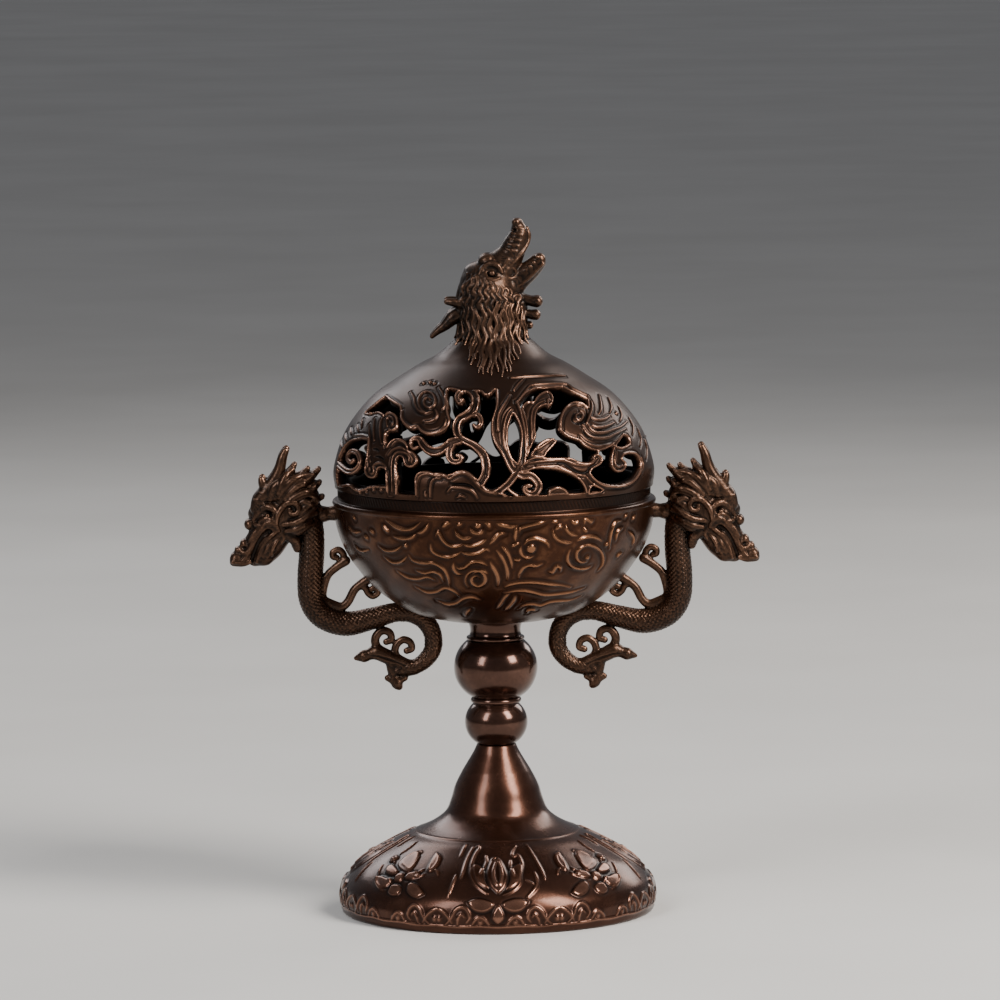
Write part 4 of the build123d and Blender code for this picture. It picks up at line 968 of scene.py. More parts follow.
# A panel's lines: (half width, points), each point (across in degrees, radius from the axis).
LOTUS_LINES = [
    (0.24, [(0.6, 23.3), (1.7, 24.5), (3.2, 26.8), (4.0, 28.6), (3.4, 29.8), (2.3, 30.9), (0.3, 31.8)]),
    (0.24, [(0.6, 23.3), (-1.0, 23.2), (-2.3, 23.7), (-3.7, 25.3), (-4.4, 27.2), (-4.4, 28.6),
            (-3.6, 29.8), (-2.0, 30.9), (0.3, 31.8)]),
    (0.22, [(0.4, 24.8), (1.6, 27.0), (1.6, 29.2), (0.4, 30.6), (-1.4, 29.4), (-1.8, 27.2), (-0.8, 25.0)]),
    (0.24, [(11.5, 19.5), (9.4, 20.8), (8.0, 22.3), (8.8, 22.9), (11.0, 22.4), (11.9, 24.4), (11.2, 26.4),
            (10.1, 28.2), (9.3, 29.7),
            (7.4, 30.9), (4.9, 31.7), (2.4, 32.1)]),
    (0.24, [(-12.9, 19.8), (-11.4, 19.4), (-11.0, 20.6), (-12.2, 22.2), (-12.6, 24.4), (-12.2, 26.4),
            (-11.5, 28.1), (-10.4, 29.3),
            (-8.7, 30.3), (-6.4, 31.2), (-4.0, 31.9)]),
    (0.2, [(-6.1, 22.6), (-5.4, 24.5), (-6.4, 26.4), (-7.6, 28.0)]),
    (0.2, [(6.6, 24.0), (6.0, 26.2), (7.0, 28.4)]),
    (0.2, [(11.4, 29.4), (13.0, 29.9), (14.8, 30.5)]),
    (0.2, [(-14.9, 19.9), (-15.6, 22.2), (-15.8, 24.5), (-15.6, 26.3), (-15.5, 27.8), (-15.8, 29.1)]),
    (0.22, [(-18.2, 28.4), (-18.4, 30.0), (-18.7, 31.4), (-18.9, 32.4)]),
    (0.2, [(18.9, 19.3), (19.6, 23.2), (19.8, 25.3), (20.0, 27.5), (20.0, 29.4)]),
    (0.24, [(16.3, 27.7), (16.5, 28.8), (16.2, 30.1), (15.3, 30.9), (13.6, 31.7), (11.0, 32.6)]),
    (0.18, [(-20.5, 19.0), (-20.3, 21.2), (-20.1, 22.9)]),
]
# Petals and leaves are raised pads: closed outlines (across in degrees, radius).
LOTUS_PADS = [
    [(0.6, 23.3), (1.9, 24.8), (3.2, 26.8), (4.0, 28.6), (3.2, 30.2), (1.6, 31.4), (0.0, 31.9),
     (-1.8, 31.1), (-3.6, 29.8),
     (-4.4, 28.2), (-4.2, 26.4), (-2.8, 24.4)],
    [(5.0, 27.4), (7.0, 26.0), (9.6, 25.2), (11.2, 25.4), (11.0, 27.0), (9.6, 29.2), (7.4, 30.6),
     (4.4, 31.3), (3.0, 31.1), (4.6, 29.6)],
    [(-5.4, 27.4), (-7.2, 26.0), (-9.8, 25.2), (-11.8, 25.4), (-11.6, 27.2), (-10.2, 29.0), (-8.0, 30.2),
     (-5.0, 31.0), (-3.4, 30.9),
     (-5.0, 29.4)],
]
FLOWER_LINES = [
    (0.24, [(-9.5, 22.4), (-12.2, 23.0), (-14.2, 24.0), (-15.3, 25.5), (-15.1, 27.0), (-13.7, 27.8),
            (-12.3, 27.2), (-11.0, 25.4),
            (-9.5, 22.4)]),
    (0.2, [(-18.5, 28.6), (-16.8, 27.6), (-15.0, 27.2)]),
    (0.24, [(-1.7, 24.2), (-3.0, 25.8), (-3.5, 27.3), (-2.8, 28.5), (1.6, 28.0), (5.0, 27.3), (6.9, 26.3),
            (7.0, 25.0), (5.0, 23.4),
            (2.0, 22.6), (-0.4, 23.0)]),
    (0.2, [(-10.0, 27.5), (-9.0, 28.1), (-7.4, 28.6)]),
    (0.2, [(-12.0, 28.7), (-10.6, 29.2), (-9.0, 29.5)]),
    (0.22, [(13.0, 30.0), (11.0, 31.4), (8.6, 32.0), (6.0, 32.4), (3.6, 32.6)]),
    (0.2, [(1.5, 31.4), (2.8, 30.8), (4.6, 30.5)]),
    (0.2, [(9.2, 27.2), (11.8, 26.4), (14.6, 26.0)]),
    (0.2, [(13.4, 20.4), (12.8, 22.4), (13.6, 24.4)]),
    (0.2, [(16.0, 28.2), (14.4, 29.4), (13.0, 30.0)]),
]
FLOWER_PADS = [
    [(-9.5, 22.4), (-12.2, 23.0), (-14.2, 24.0), (-15.3, 25.5), (-15.1, 27.0), (-13.7, 27.8),
     (-12.3, 27.2), (-11.0, 25.4)],
    [(-1.7, 24.2), (-3.0, 25.8), (-3.5, 27.3), (-2.6, 28.4), (1.6, 27.8), (5.0, 27.1), (6.8, 26.0),
     (6.6, 24.6), (4.6, 23.2), (1.4, 22.8)],
    [(-16.4, 32.4), (-14.0, 31.5), (-11.0, 30.8), (-8.0, 30.6), (-6.8, 31.3), (-8.0, 32.3), (-11.0, 32.9),
     (-14.0, 33.0)],
    [(-3.4, 28.8), (-6.0, 28.3), (-9.6, 28.4), (-10.4, 29.4), (-7.4, 30.2), (-3.6, 30.1)],
    [(2.0, 28.7), (5.8, 27.9), (9.6, 27.4), (11.6, 28.2), (9.8, 29.5), (5.2, 29.9), (2.0, 29.6)],
    [(2.0, 30.4), (6.0, 30.4), (10.4, 30.2), (12.6, 30.8), (10.4, 31.8), (6.0, 32.4), (2.6, 31.9)],
    [(-2.6, 31.2), (-5.0, 31.8), (-4.8, 32.8), (-1.6, 33.1), (1.2, 32.6), (0.6, 31.4)],
    [(10.4, 25.6), (13.4, 24.8), (16.2, 25.4), (15.2, 26.8), (12.0, 27.2)],
]
FLOWER_HEART = ((-0.4, 30.0), 1.25)
# The border under the panels: (half width, points), each point (across in degrees, height).
BORDER_LINES = [
    (0.22, [(-22.5, 5.4), (-20.4, 5.0), (-18.2, 3.8), (-16.8, 2.4)]),
    (0.22, [(-19.4, 2.0), (-17.4, 3.2), (-15.6, 5.2), (-13.2, 5.9), (-11.0, 5.2), (-10.2, 3.8),
            (-11.4, 2.6)]),
    (0.2, [(-14.8, 2.2), (-14.4, 3.6), (-13.2, 4.4), (-12.2, 3.8)]),
    (0.22, [(-9.4, 2.2), (-8.0, 3.4), (-6.2, 3.9), (-4.4, 3.2), (-3.0, 2.0)]),
    (0.22, [(9.4, 2.1), (8.0, 3.4), (6.0, 3.9), (4.2, 3.1), (3.0, 2.0)]),
    (0.22, [(19.6, 2.0), (17.6, 3.1), (15.8, 5.0), (13.4, 5.8), (11.2, 5.0), (10.6, 3.6), (11.8, 2.6)]),
    (0.2, [(15.0, 2.2), (14.4, 3.4), (13.2, 4.3), (12.4, 3.7)]),
    (0.22, [(22.5, 5.4), (20.6, 4.9), (18.4, 3.7), (17.0, 2.3)]),
    (0.18, [(-22.5, 1.8), (-15.0, 1.6), (-7.0, 1.9), (0.0, 1.7), (8.0, 1.9), (15.0, 1.6), (22.5, 1.8)]),
]
BORDER_PADS = [
    [(-11.6, 6.9), (-8.6, 7.6), (-5.0, 7.5), (-1.6, 6.7), (-2.6, 5.4), (-5.6, 4.7), (-9.0, 5.2)],
    [(11.6, 6.9), (8.6, 7.6), (5.0, 7.5), (1.6, 6.7), (2.6, 5.4), (5.6, 4.7), (9.0, 5.2)],
    [(-1.9, 4.9), (0.0, 6.4), (1.9, 4.9), (2.2, 3.4), (0.0, 2.3), (-2.2, 3.4)],
]
BORDER_DROPS = [(-21.6, 3.0), (21.6, 3.0), (-6.4, 2.6), (6.2, 2.6)]
FOOT_LINE_H, FOOT_MOUND_H, FOOT_PAD_H = 0.3, 0.4, 0.34
RING_R, RING_H = 17.6, 0.08


def on_foot(points, turn):
    """Wraps panel points (across in degrees, radius) onto the foot, for the panel at this turn."""
    across, radius = np.asarray(points, float).T
    slope = FOOT_SKIN[(FOOT_SKIN[:, 1] > 4.0) & (FOOT_SKIN[:, 1] < 22)]
    z = np.interp(-radius, -slope[:, 0], slope[:, 1])
    a = np.radians(across) + turn
    return np.column_stack([radius * np.sin(a), -radius * np.cos(a), z])


def on_rim(points, turn):
    """Wraps border points (across in degrees, height) onto the foot's rim, for the panel at this turn."""
    across, z = np.asarray(points, float).T
    slope = FOOT_SKIN[FOOT_SKIN[:, 1] < 12]
    radius = np.interp(z, slope[:, 1], slope[:, 0])
    a = np.radians(across) + turn
    return np.column_stack([radius * np.sin(a), -radius * np.cos(a), z])


def pad_field(points, across, other, outline, wrapped):
    """Signed distance to a pad's edge on the foot, below zero on the pad."""
    rim = np.full(len(points), FAR)
    lay(rim, points, wrapped, 0.0, 1.0)
    return np.where(inside_outline(across, other, outline), -rim, rim)


def foot_relief(points):
    """Height of the panels' pads and lines, of the border under them and of a faint ring above."""
    lines = np.full(len(points), FAR)
    mounds = np.full(len(points), FAR)
    pads = np.full(len(points), FAR)
    away = np.hypot(points[:, 0], points[:, 1])
    for panel in range(PANELS // 2 + 1):
        turn = -math.pi / 2 + 2 * math.pi * panel / PANELS
        across = np.degrees(np.arctan2(points[:, 0], -points[:, 1]) - turn)
        lotus = panel % 2 == 0
        flip = -1 if turn < -0.1 else 1
        for width, path in LOTUS_LINES if lotus else FLOWER_LINES:
            lay(lines, points, on_foot(smooth(np.multiply(path, (flip, 1))), turn),
                (0.06, width, width, width, 0.06), 1.0)
        for pad in LOTUS_PADS if lotus else FLOWER_PADS:
            outline = smooth(np.multiply([*pad, pad[0]], (flip, 1)), 4)
            pads = np.minimum(pads, pad_field(points, across, away, outline, on_foot(outline, turn)))
        if lotus:
            for pad in BORDER_PADS:
                outline = smooth([*pad, pad[0]], 4)
                pads = np.minimum(pads, pad_field(points, across, points[:, 2], outline,
                                                  on_rim(outline, turn)))
        else:
            (where, distance), size = FLOWER_HEART
            lay(mounds, points, on_foot([(where * flip, distance), (where * flip + 0.1, distance)], turn),
                size, 1.2)
        for width, path in BORDER_LINES:
            lay(lines, points, on_rim(smooth(path), turn), (0.06, width, width, width, 0.06), 1.0)
        for where, height in BORDER_DROPS:
            lay(mounds, points, on_rim([(where, height), (where, height + 0.3)], turn), 0.36, 1.2)
    z = points[:, 2]
    raised = FOOT_LINE_H * (1 - smooth_step(lines, -0.16, 0.3))
    pad = FOOT_PAD_H * (1 - smooth_step(pads, -0.5, 0.06)) - 0.1 * np.exp(-((pads - 0.18) / 0.16) ** 2)
    mound = FOOT_MOUND_H * (1 - smooth_step(mounds, -0.6, 0.5))
    ring = RING_H * np.exp(-((away - RING_R) / 0.3) ** 2) * (z < 20)
    around = np.arctan2(points[:, 0], -points[:, 1])
    swell = 0.04 * np.sin(9 * around + z) * np.sin(0.5 * z)
    swell = swell * smooth_step(z, 0.5, 2.0) * (1 - smooth_step(z, 14, 18))
    fade = smooth_step(z, 0.8, 1.8) * (1 - smooth_step(z, 16.6, 17.6))
    return (np.maximum(raised, mound) + pad) * fade + swell + ring


def make_foot(columns, step):
    """The hollow foot and its cone."""
    outer = resample(FOOT_SKIN, step)
    hollow = [(4.0, CONE_TOP), (TIE_BORE, CONE_TOP), (TIE_BORE, 25.0), (6.0, 25.0), (7.0, 21.6),
              (9.0, 19.0), (18.0, 15.3), (26.8, 10.6), (32.2, 3.8), (32.2, 0.0)]
    relief_piece("foot_relief", outer, resample(hollow, 1.5), foot_relief, columns, FOOT_BRONZE, "stand",
                 "foot_bronze", "foot")


make_foot(*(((880, 0.24))))

# ==================================================================================================
# Stem: polished beads and collar
# ==================================================================================================


STEM_COLUMNS = 160


def arc(start, middle, end, count=28):
    """Points on the circle through three points of an outline."""
    (ax, ay), (bx, by), (cx, cy) = start, middle, end
    d = 2 * (ax * (by - cy) + bx * (cy - ay) + cx * (ay - by))
    ux = ((ax**2 + ay**2) * (by - cy) + (bx**2 + by**2) * (cy - ay) + (cx**2 + cy**2) * (ay - by)) / d
    uy = ((ax**2 + ay**2) * (cx - bx) + (bx**2 + by**2) * (ax - cx) + (cx**2 + cy**2) * (bx - ax)) / d
    angles = np.unwrap([math.atan2(y - uy, x - ux) for x, y in (start, middle, end)])
    a = np.linspace(angles[0], angles[2], count)
    r = math.hypot(ax - ux, ay - uy)
    return np.column_stack([ux + r * np.cos(a), uy + r * np.sin(a)])


def stem_piece(name, outline):
    """A turned and polished piece, bored for the tie rod."""
    outline = np.vstack([[(TIE_BORE, outline[0][1])], outline, [(TIE_BORE, outline[-1][1])]])
    points, normals = turned(outline, STEM_COLUMNS)
    a = np.arctan2(points[..., 0], -points[..., 1])
    points = points + normals * (0.02 * np.sin(3 * a + points[..., 2]))[..., None]
    piece = make_mesh(f"{name}_polished", points.reshape(-1, 3),
                      ring_quads(len(outline), STEM_COLUMNS, closed=True))
    finish_piece(piece, STEM_BRONZE, "stand", "stem_bronze", name)


stem_piece("stem_small_bead", np.vstack([
    [(3.9, CONE_TOP)],
    arc((4.0, CONE_TOP + 0.1), (6.8, 40.9), (4.9, 45.0)),
    arc((4.9, 45.05), (5.5, 45.7), (4.95, SMALL_BEAD_TOP - 0.05), 10),
]))
stem_piece("stem_large_bead", np.vstack([
    [(5.3, SMALL_BEAD_TOP)],
    arc((5.4, SMALL_BEAD_TOP + 0.1), (9.05, 52.6), (6.2, LARGE_BEAD_TOP - 0.1)),
]))
stem_piece("stem_neck", np.vstack([
    arc((5.8, LARGE_BEAD_TOP + 0.02), (6.3, 59.25), (5.75, 59.7), 10),
    arc((5.7, 59.75), (5.5, 61.4), (6.4, BOWL_BOTTOM - 0.02), 14),
]))

# ==================================================================================================
# Clay: a block of signed distances, built up from rounded limbs, for the dragons
# ==================================================================================================


class Clay:
    """Signed distances on a regular grid. Limbs are pressed on and melt into what is there."""

    def __init__(self, low, high, step):
        self.low, self.step = np.array(low, float), step
        self.shape = np.ceil((np.array(high) - self.low) / step).astype(int) + 1
        self.field = np.full(self.shape, FAR, np.float32)

    def window(self, low, high):
        """The slices and coordinates of the part of the grid between two corners."""
        first = np.clip(np.floor((low - self.low) / self.step).astype(int), 0, self.shape)
        last = np.clip(np.ceil((high - self.low) / self.step).astype(int) + 1, 0, self.shape)
        axes = [(self.low[k] + self.step * np.arange(first[k],
                                                     last[k])).astype(np.float32) for k in range(3)]
        return tuple(slice(a, b) for a,
                     b in zip(first, last)), np.meshgrid(*axes, indexing="ij", sparse=True)

    def limb_field(self, points, radii, reach):
        """A tapered limb's signed distances in the window that holds it."""
        spread = max(radii) + reach
        where, _ = self.window(points.min(0) - spread, points.max(0) + spread)
        near = np.full([s.stop - s.start for s in where], FAR, np.float32)
        for a, b, ra, rb in zip(points, points[1:], radii, radii[1:]):
            part, (x, y, z) = self.window(np.minimum(a, b) - spread, np.maximum(a, b) + spread)
            run = b - a
            dx, dy, dz = x - a[0], y - a[1], z - a[2]
            t = np.clip((dx * run[0] + dy * run[1] + dz * run[2]) / max(run @ run, 1e-9), 0, 1)
            d = np.sqrt((dx - t * run[0]) ** 2 + (dy - t * run[1]) ** 2 + (dz - t * run[2]) ** 2)
            local = tuple(slice(p.start - w.start, p.stop - w.start) for p, w in zip(part, where))
            near[local] = np.minimum(near[local], d - (ra + (rb - ra) * t))
        return where, near

    def limb(self, points, radii, melt=0.35, mirror=False, steps=5, carve=False):
        """Presses on a limb along a smooth path, or carves it away. mirror adds its twin across Y = 0."""
        path = smooth(points, steps)
        widths = np.interp(np.linspace(0, 1, len(path)), np.linspace(0, 1, len(radii)), radii)
        for flip in ((1, -1) if mirror else (1,)):
            where, near = self.limb_field(path * [1, flip, 1], widths, melt + 2.5 * self.step)
            self.merge(where, near, melt, carve)

    def ball(self, centre, radii, melt=0.35, mirror=False, tilt=0.0, carve=False):
        """Presses on an ellipsoid, tilted in the XZ plane by an angle in degrees, or carves it away."""
        radii = np.array(radii, float) * np.ones(3)
        c, s = math.cos(math.radians(tilt)), math.sin(math.radians(tilt))
        for flip in ((1, -1) if mirror else (1,)):
            middle = np.array(centre, float) * [1, flip, 1]
            spread = radii.max() + melt + 2.5 * self.step
            where, (x, y, z) = self.window(middle - spread, middle + spread)
            dx, dz = x - middle[0], z - middle[2]
            u, v, w = dx * c + dz * s, y - middle[1], dz * c - dx * s
            scaled = np.sqrt((u / radii[0]) ** 2 + (v / radii[1]) ** 2 + (w / radii[2]) ** 2)
            slope = np.sqrt((u / radii[0] ** 2) ** 2 + (v / radii[1] ** 2) ** 2 + (w / radii[2] ** 2) ** 2)
            self.merge(where, (scaled * (scaled - 1) / np.maximum(slope, 1e-3)).astype(np.float32), melt,
                       carve)

    def merge(self, where, near, melt, carve):
        old = self.field[where]
        if carve:
            old = -old
        h = np.clip(0.5 + 0.5 * (old - near) / max(melt, 1e-3), 0, 1)
        mixed = old * (1 - h) + near * h - melt * h * (1 - h)
        self.field[where] = -mixed if carve else mixed

    def skin(self, x, z):
        """How far from the mid plane the clay reaches over a point of the XZ plane."""
        i, k = (int(round((value - self.low[axis]) / self.step)) for axis, value in ((0, x), (2, z)))
        solid = np.nonzero(self.field[i, :, k] < 0)[0]
        return self.low[1] + self.step * solid[-1] if len(solid) else 0.0

    def trace(self, points, radii, sink=0.0, melt=0.1, carve=False, steps=5):
        """Lays a limb on the clay's skin along a path in the XZ plane, with its twin on the other side."""
        path = smooth(points, steps)
        out = np.array([self.skin(x, z) for x, z in path])
        out = np.convolve(np.pad(out, 3, mode="edge"), np.full(7, 1 / 7), mode="valid") - sink
        self.limb(np.column_stack([path[:, 0], out, path[:, 1]]), radii, melt, mirror=True, steps=1,
                  carve=carve)

    def scales(self, points, radii, pitch, around, depth, belly=0.0):
        """Raises staggered scales over a limb already pressed on."""
        path = smooth(points, 8)
        widths = np.interp(np.linspace(0, 1, len(path)), np.linspace(0, 1, len(radii)), radii)
        along = np.r_[0, np.cumsum(np.linalg.norm(np.diff(path, axis=0), axis=1))]
        for k, (a, b) in enumerate(zip(path, path[1:])):
            spread = max(widths[k], widths[k + 1]) + 1.0
            where, (x, y, z) = self.window(np.minimum(a, b) - spread, np.maximum(a, b) + spread)
            run = (b - a) / np.linalg.norm(b - a)
            t = (x - a[0]) * run[0] + (y - a[1]) * run[1] + (z - a[2]) * run[2]
            side = -(x - a[0]) * run[2] + (z - a[2]) * run[0]
            reach = np.sqrt(side**2 + (y - a[1]) ** 2)
            mine = (t >= 0) & (t < along[k + 1] - along[k]) & (reach < widths[k] + 0.6)
            turn = around * np.arctan2(y - a[1], side) / (2 * math.pi)
            row = (along[k] + t) / pitch
            bump = np.sqrt(np.abs(np.sin(math.pi * (turn + row)) * np.sin(math.pi * (turn - row))))
            self.field[where] -= (mine * (depth * (bump - belly))).astype(np.float32)

    def mesh(self, mirror_x=False, polish=0.47):
        """The surface as points and quads, and each point's wear: hollows low, ridges high."""
        grid = openvdb.FloatGrid(FAR)
        grid.copyFromArray(self.field)
        points, quads = grid.convertToQuads(isovalue=0.0)
        quads = quads.astype(np.int64)
        corners = [points[quads[:, k]].astype(float) for k in range(4)]
        volume = np.einsum("ij,ij->i", corners[0], np.cross(corners[1], corners[2])).sum()
        size = 3
        blurred = np.clip(self.field, -1.2, 1.2)
        for axis in range(3):
            pad = [(0, 0)] * 3
            pad[axis] = (size, size)
            total = np.cumsum(np.pad(blurred, pad, mode="edge"), axis=axis, dtype=np.float64)
            high = np.take(total, np.arange(2 * size, blurred.shape[axis] + 2 * size), axis=axis)
            blurred = (high - np.take(total, np.arange(blurred.shape[axis]), axis=axis)) / (2 * size)
        at = np.clip(np.rint(points).astype(int), 0, self.shape - 1)
        wear_and_shade = polish + 1.5 * blurred[at[:, 0], at[:, 1], at[:, 2]]
        points = points * self.step + self.low
        if mirror_x:
            points = points * [-1, 1, 1]
        if (volume < 0) != mirror_x:
            quads = quads[:, ::-1]
        return points, quads, np.clip(wear_and_shade, 0, 1)


def xz(points, y=0.0):
    """Places points of the XZ plane at a height y, or at a y of their own where they have three numbers."""
    return np.array([(p[0], p[1], p[2]) if len(p) == 3 else (p[0], y, p[1]) for p in points], float)


CLAY_STEP = 0.2

# ==================================================================================================
# Dragon handles
# ==================================================================================================

SPINE = [(-40.2, 86.5), (-39.5, 82.5), (-39.5, 77.5), (-39.9, 72.3), (-39.5, 67.5), (-37.0, 64.1),
         (-32.2, 62.5), (-26.6, 63.6),
         (-21.4, 64.9), (-17.0, 64.3), (-14.0, 61.4), (-13.4, 57.4), (-15.2, 54.4), (-18.4, 52.6),
         (-21.7, 52.3)]
SPINE_R = [2.75, 2.7, 2.7, 2.7, 2.7, 2.7, 2.6, 2.3, 2.0, 1.95, 1.9, 1.85, 1.7, 1.5, 1.1]


def dragon_body(clay):
    """Scaled body, the lug to the bowl's rim and the two scrolling legs that brace it against the bowl."""
    clay.limb(xz(SPINE), SPINE_R, 0.2, steps=8)
    clay.scales(xz(SPINE), SPINE_R, 1.05, 15, 0.2, 0.3)
    clay.limb(xz([(-39.0, 86.0), (-36.6, 86.4), (-34.2, 86.6)]), [1.9, 1.35, 1.7], 0.5)
    clay.limb(xz([(-37.2, 86.4), (-36.8, 86.4)]), [1.75, 1.75], 0.3)
    clay.limb(xz([(-37.8, 67.0), (-37.1, 70.4), (-36.0, 73.2), (-34.0, 75.0), (-32.2, 76.2)]),
              [1.25, 1.0, 0.9, 0.95, 1.1], 0.5)
    clay.limb(xz([(-34.4, 74.8), (-33.0, 76.0), (-32.6, 77.5), (-33.6, 78.6), (-34.8, 78.2), (-34.9, 77.2),
                  (-34.1, 76.9)]),
              [0.8, 0.75, 0.7], 0.15)
    clay.limb(xz([(-37.0, 67.4), (-35.0, 66.6), (-33.2, 66.2), (-31.7, 67.4), (-30.4, 69.8), (-28.8, 71.2),
                  (-26.6, 72.6)]),
              [1.2, 1.05, 0.95, 0.95, 1.1], 0.4)
    clay.limb(xz([(-29.2, 70.8), (-28.0, 70.3), (-27.4, 69.2), (-26.4, 68.5), (-25.3, 69.2), (-25.6, 70.3),
                  (-26.5, 70.1)]),
              [0.8, 0.75, 0.7], 0.15)


def dragon_tail(clay):
    """The leaf that ends the tail: two curls, a pointed leaf and a lobed heel."""
    clay.limb(xz([(-17.6, 52.8), (-19.6, 53.6), (-21.8, 54.6), (-24.2, 55.6)]), [1.4, 1.35, 1.5, 1.5], 0.5)
    clay.limb(xz([(-23.4, 55.2), (-25.6, 56.2), (-27.2, 55.8), (-28.4, 55.4), (-30.2, 55.0)]),
              [1.5, 1.7, 1.2, 1.35, 0.5], 0.4)
    clay.limb(xz([(-23.2, 55.4), (-25.6, 57.4), (-25.9, 59.4), (-24.6, 60.9), (-22.9, 60.5), (-22.5, 59.0),
                  (-23.6, 58.5)]),
              [1.0, 0.95, 0.85, 0.75], 0.2)
    clay.limb(xz([(-20.6, 54.2), (-21.7, 56.0), (-21.4, 57.8), (-20.0, 58.9), (-18.5, 58.4), (-18.1, 57.0),
                  (-19.2, 56.5)]),
              [0.9, 0.85, 0.8, 0.75], 0.2)
    clay.limb(xz([(-22.4, 54.6), (-22.6, 52.8), (-22.2, 51.2), (-21.4, 49.4), (-20.9, 48.7)]),
              [1.4, 1.0, 0.9, 1.25, 0.8], 0.4)
    clay.limb(xz([(-21.6, 49.8), (-19.7, 50.6)]), [0.9, 0.75], 0.4)
    clay.limb(xz([(-22.0, 50.0), (-23.4, 50.6)]), [0.9, 0.7], 0.4)
    for side in (-1, 1):
        clay.limb(xz([(-19.4, 53.4), (-22.4, 54.6), (-26.0, 55.6), (-28.6, 55.2)], 1.45 * side),
                  [0.22, 0.22], 0.1, carve=True)


